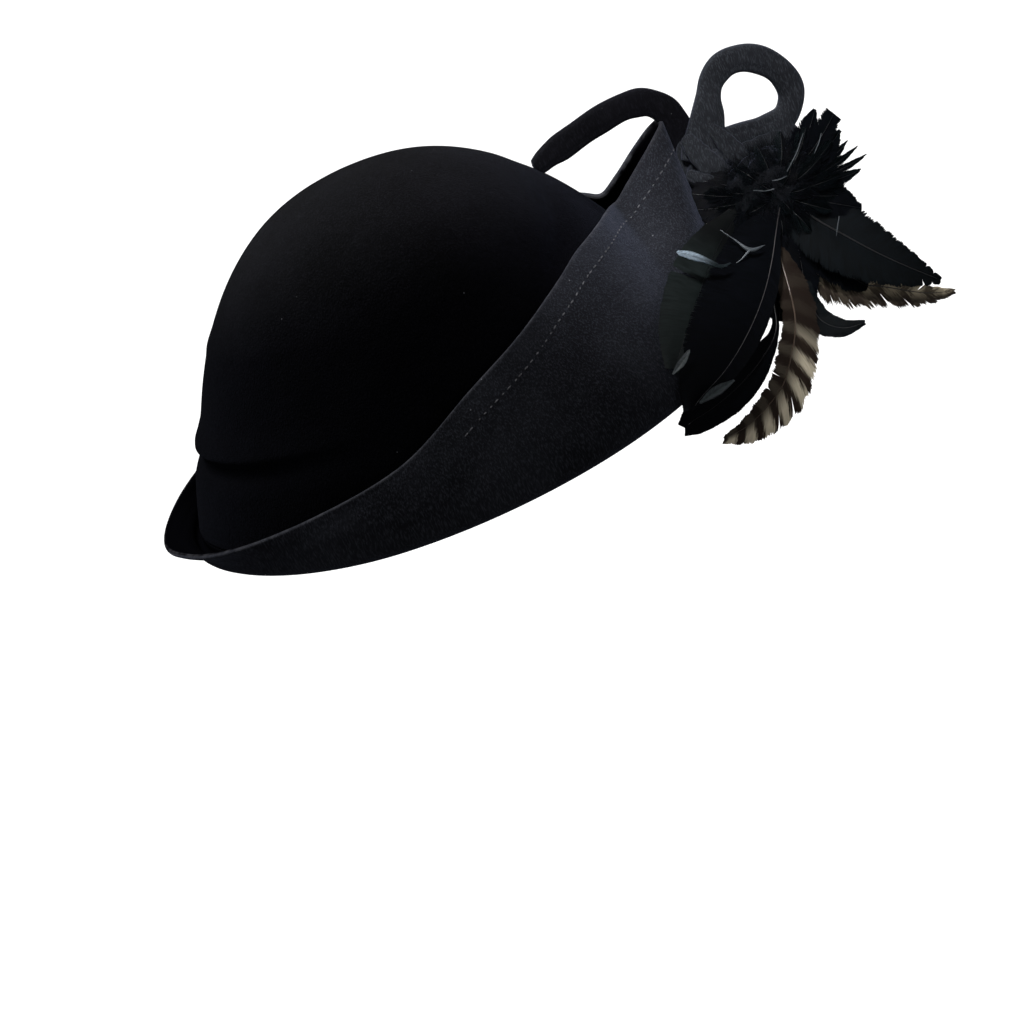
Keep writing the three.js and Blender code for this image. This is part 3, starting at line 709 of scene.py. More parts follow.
# stations of x, y, z in mm, and the width as a share of the strap's
STRAP_ROUTE = [
    (62, 0, 78, 0.55), (68, 0, 80.4, 0.85), (75.5, 0, 82, 1), (88.5, 0, 84.5, 1), (100.8, 0, 85.4, 1),
    (108.5, 0, 83.6, 1), (114.2, 0, 78.2, 1), (116.9, 1, 71.3, 1), (117, 2.5, 65.6, 1.05),
    (116, 3.4, 59, 1.1),
]
LOOP_ROUTE = [
    (119.5, -4, 55, 1.6), (122.8, -4, 62, 1.62), (127, -3.5, 70, 1.3), (129.8, -3, 76.4, 0.95),
    (133.4, -2, 81.5, 0.95), (139.6, -1, 84.6, 1), (147.6, 0, 83.6, 1), (155.5, 2, 78.4, 1),
    (160.5, 3, 71.4, 1), (162, 4, 63.5, 1), (157, 3.5, 56.5, 1), (148, 2.5, 55.5, 1), (139.5, 1.5, 57, 1),
    (129, -1, 58.5, 1),
]
strap = make_piece("felt_strap", *capped(strip_arrays(STRAP_ROUTE, 120, 5.4)))
finish_piece(strap, shaded_strap_felt, "felt_trim", "strap")
loop = make_piece("felt_bow_loop", *capped(strip_arrays(LOOP_ROUTE, 170, 5.0)))
finish_piece(loop, lit_trim_felt, "felt_trim", "bow_loop")

# %% [markdown]
# The knot is the strip wrapped over itself. Its folds are soft ridges that run round a small ball, so
# the radius of the ball is changed by a few slanted waves, sharper in the valleys than on the ridges. Five
# strips lie over it, folds and ends of the wrapped felt, made as the strap is. Two of them are long: one
# runs under the loop's lower band and one down between the peak and the ball.

# %% Knot
KNOT_CENTRE, KNOT_RADIUS = np.array([122.5, -1.5, 52.0]), np.array([9.2, 9.2, 9.2])


def knot_arrays(rows=60, columns=90):
    """A ball stretched to three radii; its radius is cut by 1 - 0.16 |sin| of a slanted angle."""
    polar, turn, way = ball_grid(rows, columns, 0.02)
    slant = 2.4 * turn + 3.1 * np.cos(polar) + 0.6 * np.sin(3 * polar)
    valley = 0.16 * np.abs(np.cos(slant * 0.5 + 0.4)) ** 6 * np.sin(polar)
    fold = 1 - valley - 0.04 * np.sin(5 * turn + 4 * polar) ** 2
    return KNOT_CENTRE + way * KNOT_RADIUS * fold[..., None]


FOLD_ROUTES = [
    [(116.5, -5, 68, 0.45), (117.8, -7.6, 62.4, 0.75), (120, -8.7, 57, 0.85), (123.5, -8.9, 51.5, 0.75),
     (127, -7, 46, 0.5)],
    [(125, -4.8, 69, 0.35), (128.2, -7, 62.5, 0.6), (131, -8, 56, 0.75), (134, -7.8, 50, 0.6),
     (136.5, -6.5, 45, 0.4)],
    [(112, -7, 55.5, 0.35), (115.5, -9, 52, 0.5), (119.5, -10, 49.4, 0.5), (124, -9.5, 48, 0.45),
     (128, -7, 47, 0.3)],
    [(124, -4, 50.5, 0.9), (133, -3, 49.5, 1.25), (143, -1, 48.5, 1.3), (152, 1, 49, 1.1),
     (159, 2.5, 53, 0.6)],
    [(118.6, 1, 65.9, 0.6), (117.2, 0, 59.6, 1), (116.3, -1, 51.4, 1.1), (116.1, -2, 42.9, 0.8)],
]


def join_closed(parts):
    """Closed bodies stacked into one set of points, quads and triangles."""
    points, quads, fans, first = [], [], [], 0
    for part_points, part_quads, part_fans in parts:
        points.append(part_points)
        quads.append(first + part_quads)
        fans.append(first + part_fans)
        first += len(part_points)
    return np.concatenate(points), np.concatenate(quads), np.concatenate(fans)


folds = [capped(strip_arrays(route, 60, 2.6, fold_depth=0.3, power=3.2)) for route in FOLD_ROUTES]
knot = make_piece("felt_knot", *join_closed([capped(knot_arrays()), *folds]))
finish_piece(knot, lit_trim_felt, "felt_trim", "knot")

# %% [markdown]
# Feathers. A real vane is hundreds of barbs that leave the shaft at a slant and hook together. Flat
# cards with a picture would look like paper, so every barb here is its own thin ribbon, set on the
# shaft and laid like a shingle over the next. The vane's outline is the table of widths, and the barbs
# are what frays at the edge. All barbs of a feather are one array. Each point keeps a place on the
# vane: u is how far across it lies, v how far along the shaft its barb starts. Bars are painted by v.

# %% Feather shapes


def feather_arrays(stations, facing, shaft=0.0, lag=0.9, pitch=0.3, fray=0.06, splits=(), cup=0.6,
                   steps=7, seed=1, bare=0.08, quill=0.8, close=1.25, wavy=0.3):
    """stations are x, y, z, width. Returns the barbs' points, faces and places, and the rings of the shaft.
    A place is the share across the vane, the barb's root along the shaft, and the point's own way along it.
    close is half a barb's breadth in pitches: above 0.5 the barbs overlap, below it they stand loose.
    A barb's point at share q of its length lies at run t + lag * q^0.8 * half width along the shaft, and
    across by the way from the shaft's place to the vane's edge times q."""
    rng = np.random.default_rng(seed)
    fine = smooth_route(stations, 400)
    place, width = fine[:, :3], np.maximum(fine[:, 3], 0.5)
    along = unit(np.gradient(place, axis=0))
    side = unit(np.cross(facing, along))
    flat = unit(np.cross(along, side))
    run = np.concatenate([[0], np.cumsum(np.linalg.norm(np.diff(place, axis=0), axis=1))])
    total = run[-1]

    def on_vane(t, u, lift):
        """The point at run t along the shaft and share u across, raised by lift."""
        t = np.clip(t, 0, total)
        half = np.interp(t, run, width)[..., None] / 2
        bow = -cup * (u[..., None] - shaft) ** 2
        return (sampled(t, run, place) + unit(sampled(t, run, side)) * u[..., None] * half
                + unit(sampled(t, run, flat)) * (lift[..., None] + bow))

    count = int(total * (1 - bare) / pitch)
    start = np.linspace(bare * total, total * 0.985, count)
    points, quads, places = [], [], []
    for sign in (-1, 1):
        jitter = rng.normal(0, 1, count)
        wave = (np.sin(start * 0.7 + seed) + 0.6 * np.sin(start * 1.9 + 2 * seed)
                + 0.4 * np.sin(start * 4.3 + sign))
        torn = fray * np.abs(rng.normal(0, 1, count)) * 0.6
        reach = 1 - torn - 0.4 * fray * (1 + np.sin(start * 0.9 + sign))
        half = np.interp(start, run, width) / 2
        span = np.abs(sign - shaft)
        slip = lag * half * span * (1 + 0.03 * wave) + 0.12 * pitch * jitter
        for at, size in splits:
            off = start / total - at
            slip = slip + size * np.clip(1 - np.abs(off) / 0.05, 0, 1) * np.sign(off)
        slip = np.minimum(slip, 0.96 * (total - start))
        q = np.linspace(0, 1, steps)[None, :]
        t = start[:, None] + slip[:, None] * q**0.8
        u = shaft + (sign - shaft) * q * reach[:, None]
        thin = pitch * close * (1 - 0.85 * q**10)
        curl = wavy * wave[:, None] * q**2 + 0.03 * jitter[:, None] * q
        edge_a = on_vane(t - thin, u, curl + 0.07)
        edge_b = on_vane(t + thin, u, curl - 0.07)
        first = sum(len(p) for p in points)
        strands = np.stack([edge_a, edge_b], 2).reshape(-1, 3)
        points.append(strands)
        quads.append(first + copies(grid_faces(steps, 2, close_columns=False), 2 * steps, count))
        across = np.repeat((0.5 + 0.5 * u)[..., None], 2, axis=2)
        root = np.repeat(np.repeat(start[:, None], steps, axis=1)[..., None], 2, axis=2)
        own = np.repeat(t[..., None], 2, axis=2)
        places.append(np.stack([across, root / 100, own / 100], -1).reshape(-1, 3))
    rib_run = np.linspace(0, total * 0.97, 60)
    rib_size = quill * (1 - 0.8 * rib_run / total)
    angle = circle(8)[None, :, None]
    half = np.interp(rib_run, run, width)[:, None] / 2
    beside, over = unit(sampled(rib_run, run, side)), unit(sampled(rib_run, run, flat))
    core = sampled(rib_run, run, place) + beside * shaft * half + over * 0.15
    ring = beside[:, None] * np.cos(angle) + over[:, None] * np.sin(angle) * 0.8
    rib = core[:, None] + ring * (rib_size / 2)[:, None, None]
    return np.concatenate(points), np.concatenate(quads), np.concatenate(places), rib


# %% [markdown]
# Feather finishes. Cock feathers are black with a green and blue gloss that changes with the angle, so
# a Layer Weight node mixes a dark teal into the black where the vane turns away. The barred ones are
# cream with brown bars that follow the barbs, broken up by noise. Fine lines across the barbs come from
# the same uv map, as a wave in v.

# %% Feather materials


FULL_TURN = 6.283
BAR_RATE = 62.8  # radians for each 100 mm of shaft: ten bars


def scaled(colour, share):
    return tuple(share * v for v in colour)


def build_barb_group():
    group, start, end = new_group(
        "barb lines", [("Strand", "Vector", None), ("Lines", "Float", 260.0)],
        [("Height", "Float"), ("Streak", "Float"), ("Along", "Float"), ("Across", "Float")])
    strand = start.outputs["Strand"]
    across, along = add_node(group, "ShaderNodeSeparateXYZ", {0: strand}).outputs[:2]
    lines = arithmetic(group, "SINE", times(group, times(group, along, start.outputs["Lines"]), FULL_TURN))
    streak = noise(group, stretch(group, strand, (3, 190, 1)), detail=3.0)
    for label, value in {"Height": lines, "Streak": streak, "Along": along, "Across": across}.items():
        group.links.new(value, end.inputs[label])
    return group


BARB_GROUP = build_barb_group()


def barb_node(tree):
    """The barb group in a material, fed by the piece's own uv map."""
    strand = add_node(tree, "ShaderNodeUVMap", {}, uv_map="strand").outputs[0]
    barbs = add_node(tree, "ShaderNodeGroup", {}, node_tree=BARB_GROUP)
    tree.links.new(strand, barbs.inputs["Strand"])
    return barbs


def black_feather_material(name, dark, gloss_tint, roughness, shine, fade=None):
    """Black with a glossy tint where it turns away. fade gives a run along the shaft, and the colour
    before it."""
    material, tree, shader = new_material(name, {
        "Specular IOR Level": shine, "Sheen Weight": 0.02, "Sheen Tint": (0.4, 0.7, 0.75, 1)})
    barbs = barb_node(tree)
    streak = barbs.outputs["Streak"]
    turned = add_node(tree, "ShaderNodeLayerWeight", {"Blend": 0.35}).outputs["Facing"]
    base = blend_colours(tree, ramp(tree, streak, 0.35, 0.7), dark, scaled(dark, 2.6))
    base = blend_colours(tree, ramp(tree, turned, 0.2, 1.0), base, gloss_tint)
    if fade:
        base = blend_colours(tree, ramp(tree, barbs.outputs["Along"], *fade[0]), fade[1], base)
    tree.links.new(base, shader.inputs["Base Color"])
    rough = add_node(tree, "ShaderNodeMapRange", {
        "Value": streak, "From Min": 0.3, "From Max": 0.7,
        "To Min": roughness - 0.08, "To Max": roughness + 0.14}).outputs[0]
    tree.links.new(rough, shader.inputs["Roughness"])
    emboss(tree, shader, 0.12, 0.0002, barbs.outputs["Height"])
    return material


def barred_feather_material(name, dark_until, uneven, pale, contrast):
    """Cream, with brown bars where a wobbling wave along the shaft is high, and dull near the root and
    inside. uneven is how far the bars wobble and contrast is how strong they are."""
    material, tree, shader = new_material(name, {"Roughness": 0.55, "Specular IOR Level": 0.12})
    barbs = barb_node(tree)
    along, across, streak = [barbs.outputs[label] for label in ("Along", "Across", "Streak")]
    wobble = times(tree, arithmetic(tree, "SUBTRACT", streak, 0.5), uneven)
    own = mark(tree, "along_shaft")
    place = plus(tree, times(tree, along, 0.35), times(tree, own, 0.65))
    phase = plus(tree, times(tree, place, BAR_RATE), wobble)
    bar = times(tree, ramp(tree, arithmetic(tree, "SINE", phase), -0.75, 0.65), contrast)
    cream = blend_colours(tree, streak, scaled(pale, 0.45), pale)
    brown = blend_colours(tree, streak, (0.006, 0.004, 0.003), (0.034, 0.021, 0.015))
    colour = blend_colours(tree, bar, cream, brown)
    shaded = rest_of(tree, ramp(tree, across, 0.26, 0.74))
    young = rest_of(tree, ramp(tree, own, dark_until - 0.14, dark_until + 0.06))
    dull = arithmetic(tree, "MAXIMUM", times(tree, shaded, 0.95), times(tree, young, 0.985))
    colour = blend_colours(tree, dull, colour, (0.011, 0.0072, 0.0055))
    tree.links.new(colour, shader.inputs["Base Color"])
    emboss(tree, shader, 0.3, 0.0002, barbs.outputs["Height"])
    return material


def shaft_material(name, colour, roughness=0.3):
    material, tree, shader = new_material(name, {"Roughness": roughness})
    uneven = noise(tree, object_place(tree), 120.0)
    mixed = blend_colours(tree, uneven, scaled(colour, 0.6), scaled(colour, 1.3))
    tree.links.new(mixed, shader.inputs["Base Color"])
    return material


black_vane = black_feather_material(
    "black vane", (0.0005, 0.0006, 0.0011), (0.0012, 0.0024, 0.0034), 0.6, 0.04)
teal_vane = black_feather_material(
    "black vane with teal gloss", (0.0008, 0.0013, 0.0018), (0.0020, 0.0042, 0.0056), 0.55, 0.08)
# painted sheen: the grey green stands in for light caught by the vane; near the root, up to a run of 0.26 to
# 0.46, the vane keeps a near black
painted_sheen_vane = black_feather_material(
    "black vane with painted grey green sheen", (0.004, 0.0056, 0.0056), (0.020, 0.027, 0.026), 0.45, 0.32,
    fade=((0.26, 0.46), (0.0008, 0.0010, 0.0012)))
# painted reflection: a pale blue white colour for the sky that a curled vane throws back, fading to dark
# along the run
painted_glare_vane = black_feather_material(
    "painted blue white glare on a curled vane", (0.17, 0.21, 0.25), (0.30, 0.36, 0.42), 0.35, 0.6,
    fade=((0.20, 0.06), (0.012, 0.016, 0.020)))
# painted highlight: a grey for the light on a turned vane's edge
painted_glint_vane = black_feather_material(
    "painted grey glint on a turned vane edge", (0.022, 0.026, 0.028), (0.07, 0.08, 0.085), 0.5, 0.2)
barred_vane = barred_feather_material("cream vane with brown bars", 0.56, 3.0, (0.74, 0.66, 0.50), 1.0)
barred_front_vane = barred_feather_material("dull barred vane", 0.33, 9.0, (0.66, 0.57, 0.41), 0.85)
dark_shaft = shaft_material("dark horn shaft", (0.003, 0.003, 0.004))
brown_shaft = shaft_material("brown horn shaft", (0.05, 0.035, 0.025))
pale_shaft = shaft_material("pale horn shaft", (0.022, 0.020, 0.021), 0.5)

# %% [markdown]
# The seven main feathers, each with the stations of its solid. The shaft's place says whether it runs
# in the middle of the vane or nearer one edge, as on a tail feather.

# %% The hanging and forward feathers
FEATHERS = {
    "plume_black_front": dict(
        stations=[(142, -14, 36.5, 7), (146.5, -18, 24.5, 22), (155, -22, 13, 27),
                  (164.5, -25, 2, 22), (174, -27, -7.5, 14), (184, -28, -16.5, 3)],
        facing=(0.1, -1, 0.35), vane="teal", rib="dark", shaft=0.1, fray=0.07, seed=3, lag=0.6, close=2.2,
        wavy=0.12,
        splits=((0.86, 0.8), (0.93, 0.8))),
    "plume_barred_front": dict(
        stations=[(142.5, -9.5, 27, 3), (140.5, -11, 16.5, 5), (142.5, -13, 3.5, 15),
                  (152.5, -15, -7.5, 17), (166, -17, -15, 14), (180, -19, -23, 9),
                  (191.5, -20, -26.5, 2)],
        facing=(0.1, -1, 0.3), vane="barred front", rib="dark", shaft=0.2, fray=0.16, seed=4, close=1.6,
        splits=((0.6, 0.8), (0.8, 0.8))),
    "plume_barred_hanging": dict(
        stations=[(133.5, -15, 32, 3), (131.5, -21, 24.5, 4), (130.5, -27, 16, 10),
                  (128.5, -34, 4, 17), (124, -42, -4.5, 19), (117, -49, -11.5, 21),
                  (108, -57, -17, 20), (96.5, -65, -18.5, 16), (85.5, -72, -17.5, 10),
                  (74.5, -78, -14, 2)],
        facing=(0.35, -1, 0.1), vane="barred", rib="brown", shaft=-0.35, fray=0.08, seed=5, lag=0.45,
        close=1.5,
        splits=((0.62, 0.7), (0.7, 0.6))),
    "plume_black_long": dict(
        stations=[(140, -17, 38, 3), (134, -21, 33, 7), (121, -34, 28, 21), (107.5, -48.5, 22.5, 27),
                  (94, -61, 17, 27), (82, -70.5, 12, 22), (73, -77, 8, 13), (66, -83, 3.5, 2)],
        facing=(0.3, -1, 0.35), vane="black", rib="pale", shaft=0.6, fray=0.015, seed=6, lag=0.5, wavy=0.1,
        quill=0.45),
    "plume_black_sheen": dict(
        stations=[(131, -13, 43, 3), (121.5, -18, 38, 5), (107, -32, 36, 14), (95, -45, 33, 20),
                  (84, -58, 28.5, 21),
                  (74.5, -68, 22.5, 16), (67.5, -76, 16.5, 5)],
        facing=(0.45, -1, 0.2), vane="sheen", rib="dark", shaft=0.3, fray=0.015, seed=7, lag=0.5, quill=0.3,
        wavy=0.1,
        splits=((0.55, 1.4),)),
    "plume_black_blunt": dict(
        stations=[(137, -12, 30, 3), (128, -20, 19, 3), (121, -31, 9, 3), (114.5, -43, 0, 4),
                  (101.5, -54, -4, 12),
                  (89, -62, -5.5, 15), (76.5, -70, -5, 13), (67.5, -76, -3.5, 10), (63, -79, -3.5, 5)],
        facing=(0.3, -1, 0.2), vane="black", rib="dark", shaft=0.0, fray=0.02, seed=8, bare=0.3, lag=0.6,
        wavy=0.1),
    "plume_black_fork": dict(
        stations=[(140.5, -13, 27, 3), (139.5, -16.5, 17, 3), (138, -19, 8, 4),
                  (135, -24, -1.5, 9), (136, -28, -10.5, 10), (142, -31, -15.5, 7),
                  (150, -33, -16.5, 2)],
        facing=(0.2, -1, 0.2), vane="teal", rib="dark", shaft=0.0, fray=0.05, seed=9, bare=0.3, lag=0.5,
        close=1.8),
}
VANES = {"black": (black_vane, "feather_black"), "sheen": (painted_sheen_vane, "feather_black"),
         "teal": (teal_vane, "feather_black"), "barred": (barred_vane, "feather_barred"),
         "barred front": (barred_front_vane, "feather_barred")}
RIBS = {"dark": dark_shaft, "pale": pale_shaft, "brown": brown_shaft}


def make_feather(name, solid, vane, rib, **shape):
    """One feather as a mesh: barbs first, then the shaft, with a material for each."""
    points, quads, places, rib_rows = feather_arrays(**shape)
    rib_points, rib_quads, rib_fans = capped(rib_rows)
    first = len(points)
    places = np.concatenate([places, np.full((len(rib_points), 3), 0.5)])
    piece = make_piece(name, np.concatenate([points, rib_points]), np.concatenate([quads, first + rib_quads]),
                       first + rib_fans, uv=places[:, :2], marks={"along_shaft": places[:, 2]})
    material, slot = VANES[vane]
    finish_piece(piece, material, slot, *([solid] if solid else []))
    piece.data.materials.append(RIBS[rib])
    index = np.zeros(len(piece.data.polygons), np.int32)
    index[len(quads):] = 1
    piece.data.polygons.foreach_set("material_index", index)


for solid, shape in FEATHERS.items():
    make_feather(solid.replace("plume", "feather"), solid, **shape)

# %% [markdown]
# The feather head. Where the feathers are bound together, short soft hackles fan out over a dark core,
# the longest towards the front and above. They are the same feathers as before, only short and broad,
# laid round a core that keeps light from shining through, with loose down between them.

# %% Feather head
HEAD_CENTRE, HEAD_RADIUS = np.array([138.0, -9.5, 37.0]), np.array([24.5, 11.5, 16.5])


def core_arrays(rows=40, columns=60):
    """A ball stretched to three radii with lumps of a few crossed sines."""
    polar, turn, way = ball_grid(rows, columns, 0.03)
    lump = 1 + 0.05 * np.sin(7 * turn + 3 * polar) * np.sin(5 * polar) + 0.03 * np.sin(13 * turn - 9 * polar)
    return HEAD_CENTRE + way * HEAD_RADIUS * 0.92 * lump[..., None]


core = make_piece("feather_head_core", *capped(core_arrays()))
core_felt = felt_material("bound down of the feather head", (0.0025, 0.0028, 0.0035),
                          (0.006, 0.0065, 0.008), lint=0.3)
finish_piece(core, core_felt, "down_black", "feather_head")

# tip in mm, base as a share of the way from the core's centre, width in mm
POINTED = [
    ((170.9, -8, 53.1), 0.2, 14), ((171, -9, 46.5), 0.3, 12), ((173, -8, 41.5), 0.4, 4),
    ((176, -8, 38), 0.4, 3),
    ((178, -9, 34), 0.4, 3), ((174, -10, 30), 0.4, 5), ((150, 2, 55), 0.3, 10),
    ((165.3, -6, 56.9), 0.2, 13), ((165, 2, 45), 0.3, 10),
    ((160, 3, 25), 0.3, 11), ((140, 3, 20), 0.3, 11),
]
BLUNT = 0  # the first pointed feather ends broad
DOWNY = [
    ((148, -13, 57), 0.2, 13), ((138, -13, 56), 0.2, 13), ((128, -12, 52), 0.3, 12),
    ((118, -12, 47), 0.3, 12),
    ((111.5, -12, 43), 0.4, 13), ((114, -17, 28), 0.3, 12), ((122, -19, 22), 0.3, 12),
    ((133, -20, 20), 0.2, 12),
    ((145, -21, 20), 0.2, 12), ((155, -21, 24), 0.1, 12), ((146, -21, 47), 0.0, 12),
    ((133, -20, 44), 0.0, 12),
    ((124, -19, 36), 0.0, 12), ((150, -21, 36), 0.0, 12), ((140, -22, 30), 0.0, 12),
    ((112, -11, 48), 0.5, 12),
    ((158, -12, 54), 0.2, 13), ((165, -14, 46), 0.2, 13), ((169, -13, 38), 0.2, 13),
    ((168, -12, 30), 0.3, 13),
    ((166, -13, 24), 0.3, 13), ((163, -18, 34), 0.1, 13), ((158, -19, 44), 0.0, 13),
]
# broad black feathers under the hanging ones: root, tip and width in mm
UNDER = [
    ((133.9, -13, 40.4), (112.5, -17, 31), 15), ((136.2, -14, 37.7), (109.4, -25, 22), 17),
    ((136.8, -16, 35.8), (113.2, -31, 8), 19), ((139.7, -15, 32.5), (121, -27, -4), 18),
    ((142.1, -14, 31), (134, -22, -8), 17), ((132.1, -11, 44.7), (111, -13, 39), 13),
    ((145, -12, 31), (152, -18, 2), 16),
    ((128.1, -13, 43.6), (112.5, -8, 53.6), 12),
    ((126.1, -14, 41.5), (110.1, -11, 49), 13),
    ((124.2, -15, 39.4), (109, -13, 43.5), 13),
    ((127.7, -15, 35.4), (109.8, -17, 35.2), 14),
    ((148.2, -14, 34.6), (166.1, -14, 22.5), 12),
    ((150, -12, 37.4), (167.9, -11, 30), 10),
    ((145.6, -15, 32.8), (167.2, -17, 18.6), 12),
    ((139.7, -15, 15.3), (160.4, -17, -10.8), 13),
    ((139.8, -14, 19.1), (152.9, -15, -2.8), 12),
]


def hackle_stations(tip, base_share, width, end=0.12):
    """From near the core's skin to the tip, bulging off the core by its own shape in the middle."""
    tip = np.array(tip, float)
    start = HEAD_CENTRE + (tip - HEAD_CENTRE) * base_share + np.array([0, -5.0 if tip[1] < 0 else 5.0, 0])
    share = np.array([0, 0.25, 0.5, 0.75, 1])[:, None]
    line = start + (tip - start) * share
    off = np.sin(np.pi * share) * np.array([0, -3.5 if tip[1] < 0 else 3.5, 0])
    size = np.array([0.35, 0.9, 1, max(0.75, end), end])[:, None] * width
    return np.concatenate([line + off, size], 1)


def join_feathers(name, parts, slot, material, rib_material):
    """Many small feathers as one mesh: their arrays are stacked, and each one's faces are shifted."""
    points, quads, fans, uv, is_rib = [], [], [], [], []
    first = 0
    for part_points, part_quads, places, rib_rows in parts:
        rib_points, rib_quads, rib_fans = capped(rib_rows)
        points += [part_points, rib_points]
        quads += [first + part_quads, first + len(part_points) + rib_quads]
        fans.append(first + len(part_points) + rib_fans)
        uv += [places[:, :2], np.full((len(rib_points), 2), 0.5)]
        is_rib += [np.zeros(len(part_quads)), np.ones(len(rib_quads))]
        first += len(part_points) + len(rib_points)
    fans = np.concatenate(fans)
    piece = make_piece(name, np.concatenate(points), np.concatenate(quads), fans, uv=np.concatenate(uv))
    finish_piece(piece, material, slot)
    piece.data.materials.append(rib_material)
    index = np.concatenate([*is_rib, np.ones(len(fans))]).astype(np.int32)
    piece.data.polygons.foreach_set("material_index", index)


def hackle(number, tip, base, width, end=0.12, **look):
    """One short feather of the head, facing away from the hat's middle plane."""
    sideways = -1 if tip[1] < 0 else 1
    return feather_arrays(hackle_stations(tip, base, width, end), (0.1, sideways, 0.25), steps=6,
                          seed=20 + number, bare=0.05, quill=0.35, **look)


def under_stations(root, tip, width):
    """A straight shaft that sags a little away from the hat, broad in the middle and blunt at the end."""
    root, tip = np.array(root, float), np.array(tip, float)
    share = np.array([0, 0.2, 0.5, 0.8, 1])[:, None]
    sag = np.sin(np.pi * share) * np.array([0, -2.0, 0])
    size = width * np.array([0.3, 0.9, 1, 0.85, 0.3])[:, None]
    return np.concatenate([root + (tip - root) * share + sag, size], 1)


parts = [hackle(n, *row, end=0.55 if n == BLUNT else 0.12, lag=0.9, pitch=0.3, fray=0.10, cup=0.6)
         for n, row in enumerate(POINTED)]
join_feathers("hackles", parts, "down_black", black_vane, dark_shaft)
parts = [hackle(40 + n, *row, lag=1.3, pitch=0.22, fray=0.45, cup=1.5, close=0.7)
         for n, row in enumerate(DOWNY)]
join_feathers("downy_hackles", parts, "down_black", black_vane, dark_shaft)
parts = [feather_arrays(under_stations(*row), (0.3, -1, 0.25), lag=0.7, pitch=0.35, fray=0.12, steps=5,
                        seed=70 + n, quill=0.4, close=1.6) for n, row in enumerate(UNDER)]
join_feathers("under_feathers", parts, "feather_black", black_vane, dark_shaft)


def down_arrays(count=7000, steps=5, seed=11):
    """Loose down: each strand leaves the core's skin, bends with its own droop and curl, and thins out."""
    rng = np.random.default_rng(seed)
    way = unit(rng.normal(0, 1, (count, 3)))
    start = HEAD_CENTRE + way * HEAD_RADIUS * 0.9
    aim = unit(way + 0.5 * rng.normal(0, 1, (count, 3)) * [1, 0.4, 1])
    length = rng.uniform(3, 8, count) * (1 - 0.4 * np.clip(way[:, 0], -1, 0))
    q = np.linspace(0, 1, steps)[None, :, None]
    curl = unit(rng.normal(0, 1, (count, 3)))[:, None]
    line = start[:, None] + aim[:, None] * length[:, None, None] * q
    line = line + curl * (q**2) * (0.25 * length)[:, None, None]
    line = line - np.array([0, 0, 1.0]) * (q**2) * 1.2
    beside = unit(np.cross(aim, rng.normal(0, 1, (count, 3))))[:, None] * 0.09 * (1 - 0.8 * q)
    points = np.stack([line - beside, line + beside], 2).reshape(-1, 3)
    quads = copies(grid_faces(steps, 2, close_columns=False), 2 * steps, count)
    along = np.broadcast_to(q[..., 0], (count, steps))
    uv = np.stack([along, length[:, None] + 0 * along], -1)
    return points, quads, np.repeat(uv[:, :, None], 2, axis=2).reshape(-1, 2)


points, quads, uv = down_arrays()
down = make_piece("loose_down", points, quads, uv=uv)
finish_piece(down, black_vane, "down_black")

# %% [markdown]
# Small lights in the dark spray: bare quills that stick out of the down, whose pale bluish grey is partly
# their own colour and partly painted gloss, and places where a vane curls over and its smooth side throws
# back the sky, done as a painted glare and painted grey glints. Quills are thin tapered rods; the curled
# places are short narrow vanes of their own, laid just over the big feathers.

# %% Quills and curled vanes


def rod_arrays(stations, sides=6):
    """A thin tapered rod through stations of x, y, z and thickness."""
    route = smooth_route(stations, 24)
    place, size = route[:, :3], route[:, 3]
    along = unit(np.gradient(place, axis=0))
    beside = unit(np.cross(along, [0.3, -1, 0.2]))
    over = np.cross(beside, along)
    angle = circle(sides)[None, :, None]
    ring = beside[:, None] * np.cos(angle) + over[:, None] * np.sin(angle)
    return capped(place[:, None] + ring * (size / 2)[:, None, None])


QUILLS = [  # x, y, z and thickness
    [(109.2, -36, 40.4, 0.3), (112.2, -39, 35.8, 0.5), (115.6, -41, 30.8, 1.6), (122.1, -38, 29, 0.2)],
    [(106.5, -42, 28.5, 0.2), (111, -42, 29.3, 0.4), (115.6, -41.2, 31, 1.2)],
    [(154.6, -17, 53.8, 0.25), (149, -21, 49.8, 0.3), (142.4, -24, 45.6, 0.25)],
    [(161.7, -15, 50.4, 0.25), (158.5, -18, 48.2, 0.3), (155.6, -19, 45.9, 0.2)],
    [(154.3, -28, 23.5, 0.35), (152.5, -28.5, 20.5, 0.4), (150.7, -29, 17.4, 0.2)],
    [(136.5, -23, 44.5, 0.3), (138.4, -24, 44.2, 0.4), (142.2, -23, 43.8, 0.3)],
    [(129.3, -21, 43.6, 0.3), (133, -22.5, 42, 0.3), (136.2, -23, 41.4, 0.5)],
]
# the quills' pale bluish grey is partly the shafts' own colour and partly painted gloss; some short rods are
# painted glints
quills = make_piece("pale_quills", *join_closed([rod_arrays(row) for row in QUILLS]))
finish_piece(quills, shaft_material("pale quill with painted gloss", (0.04, 0.048, 0.056), 0.6), "feather_black")

# stations of x, y, z and width in mm, for a painted glare or glint that lies on a bigger feather
CURLED = [
    [(85.5, -61, 48.5, 1.8), (90.6, -60, 44.6, 3.6), (95.5, -58, 40, 2.8), (100.7, -54, 34.5, 1.8),
     (105, -51, 33, 0.4)],
    [(75.0, -78, 21.3, 1), (69.9, -81, 19.3, 2.6), (65.5, -83.5, 18.2, 0.6)],
    [(69.8, -86, 5.7, 0.8), (77.6, -82.5, 5.6, 4), (85.6, -78.5, 4.7, 0.8)],
]
parts = [feather_arrays(row, (0.2, -1, 0.9), lag=1.2, pitch=0.12, fray=0.08, steps=5, seed=90 + n, bare=0.02,
                        quill=0.05, cup=0.1, close=2.5, wavy=0.05) for n, row in enumerate(CURLED)]
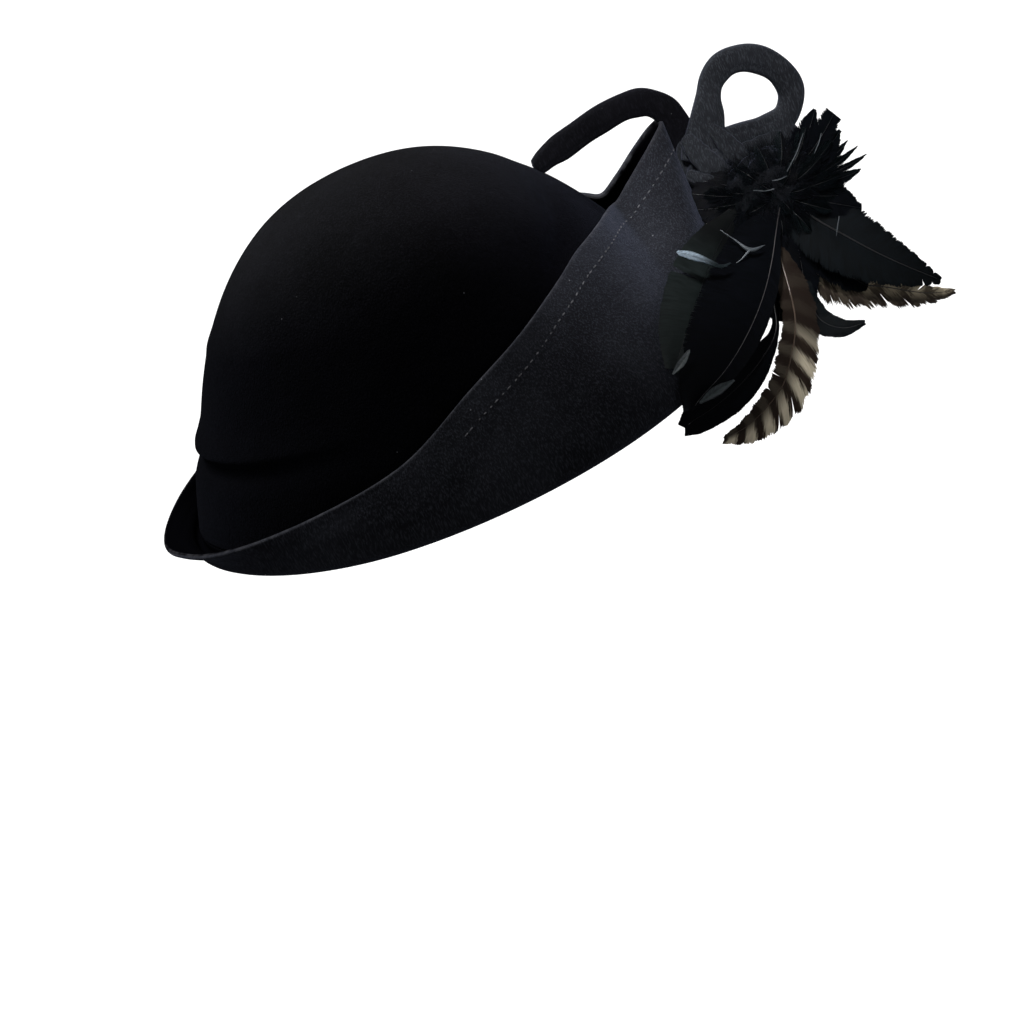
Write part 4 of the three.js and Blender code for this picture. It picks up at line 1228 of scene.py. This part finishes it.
# the first is a painted glare on a curled vane; the other two are painted grey glints on turned edges
join_feathers("curled_vane_glare", parts[:1], "feather_black", painted_glare_vane, dark_shaft)
join_feathers("turned_edge_glints", parts[1:], "feather_black", painted_glint_vane, dark_shaft)

# %% [markdown]
# A plain pale floor far below the hat gives the picture an even white ground. The light is a wide soft
# sun, nearly overhead, as under a skylight: it catches the tops and leaves the sides dark. A narrow
# window light from the upper left brightens the peak and the bow, and a weak low fill keeps the brim's
# wall from going black. White ground would throw light back up and grey the felt, so bounced rays don't
# see the floor, and the room is white only for the camera, dim for the rest.

# %% Floor and light
FLOOR_LEVEL = -0.9
FLOOR_CORNERS = [(-60, -60), (60, -60), (60, 60), (-60, 60)]
floor_mesh = bpy.data.meshes.new("floor")
floor_mesh.from_pydata([(x, y, FLOOR_LEVEL) for x, y in FLOOR_CORNERS], [], [(0, 1, 2, 3)])
floor = bpy.data.objects.new("floor", floor_mesh)
bpy.context.scene.collection.objects.link(floor)
pale, tree, shader = new_material("pale floor", {
    "Base Color": (0.96, 0.96, 0.96, 1), "Roughness": 1.0, "Specular IOR Level": 0.0})
floor_mesh.materials.append(pale)
floor.visible_diffuse = False
floor.visible_glossy = False


def facing_matrix(place, aim):
    """A matrix whose -Z looks from the place to the aim point."""
    back = unit(np.array(place, float) - np.array(aim, float))
    right = unit(np.cross([0, 0, 1], back))
    matrix = np.eye(4)
    matrix[:3, :3] = np.stack([right, np.cross(back, right), back], 1)
    matrix[:3, 3] = place
    return Matrix(matrix.tolist())


def add_light(name, kind, energy, place, aim, **settings):
    """A light at the place, in metres, that shines towards the aim point."""
    light = bpy.data.lights.new(name, kind)
    light.energy = energy
    for key, value in settings.items():
        setattr(light, key, value)
    lamp = bpy.data.objects.new(name, light)
    lamp.matrix_world = facing_matrix(place, aim)
    bpy.context.scene.collection.objects.link(lamp)


add_light("skylight", "SUN", 4.4, (-0.2, 0.42, 1.0), (0, 0, 0), angle=np.radians(30))
add_light("window", "SPOT", 190, (0.02, -0.42, 0.5), (0.121, -0.008, 0.064),
          spot_size=np.radians(7.2), spot_blend=1.0, shadow_soft_size=0.08)
add_light("low fill", "SUN", 1.0, (0.1, -1.0, 0.12), (0, 0, 0), angle=np.radians(60))

world = bpy.data.worlds.new("white room")
world.use_nodes = True
tree = world.node_tree
seen = add_node(tree, "ShaderNodeLightPath").outputs["Is Camera Ray"]
bright = add_node(tree, "ShaderNodeMapRange", {"Value": seen, "To Min": 0.06, "To Max": 1.0}).outputs[0]
tree.nodes["Background"].inputs["Color"].default_value = (1, 1, 1, 1)
tree.links.new(bright, tree.nodes["Background"].inputs["Strength"])
bpy.context.scene.world = world
bpy.context.scene.view_settings.view_transform = "Standard"
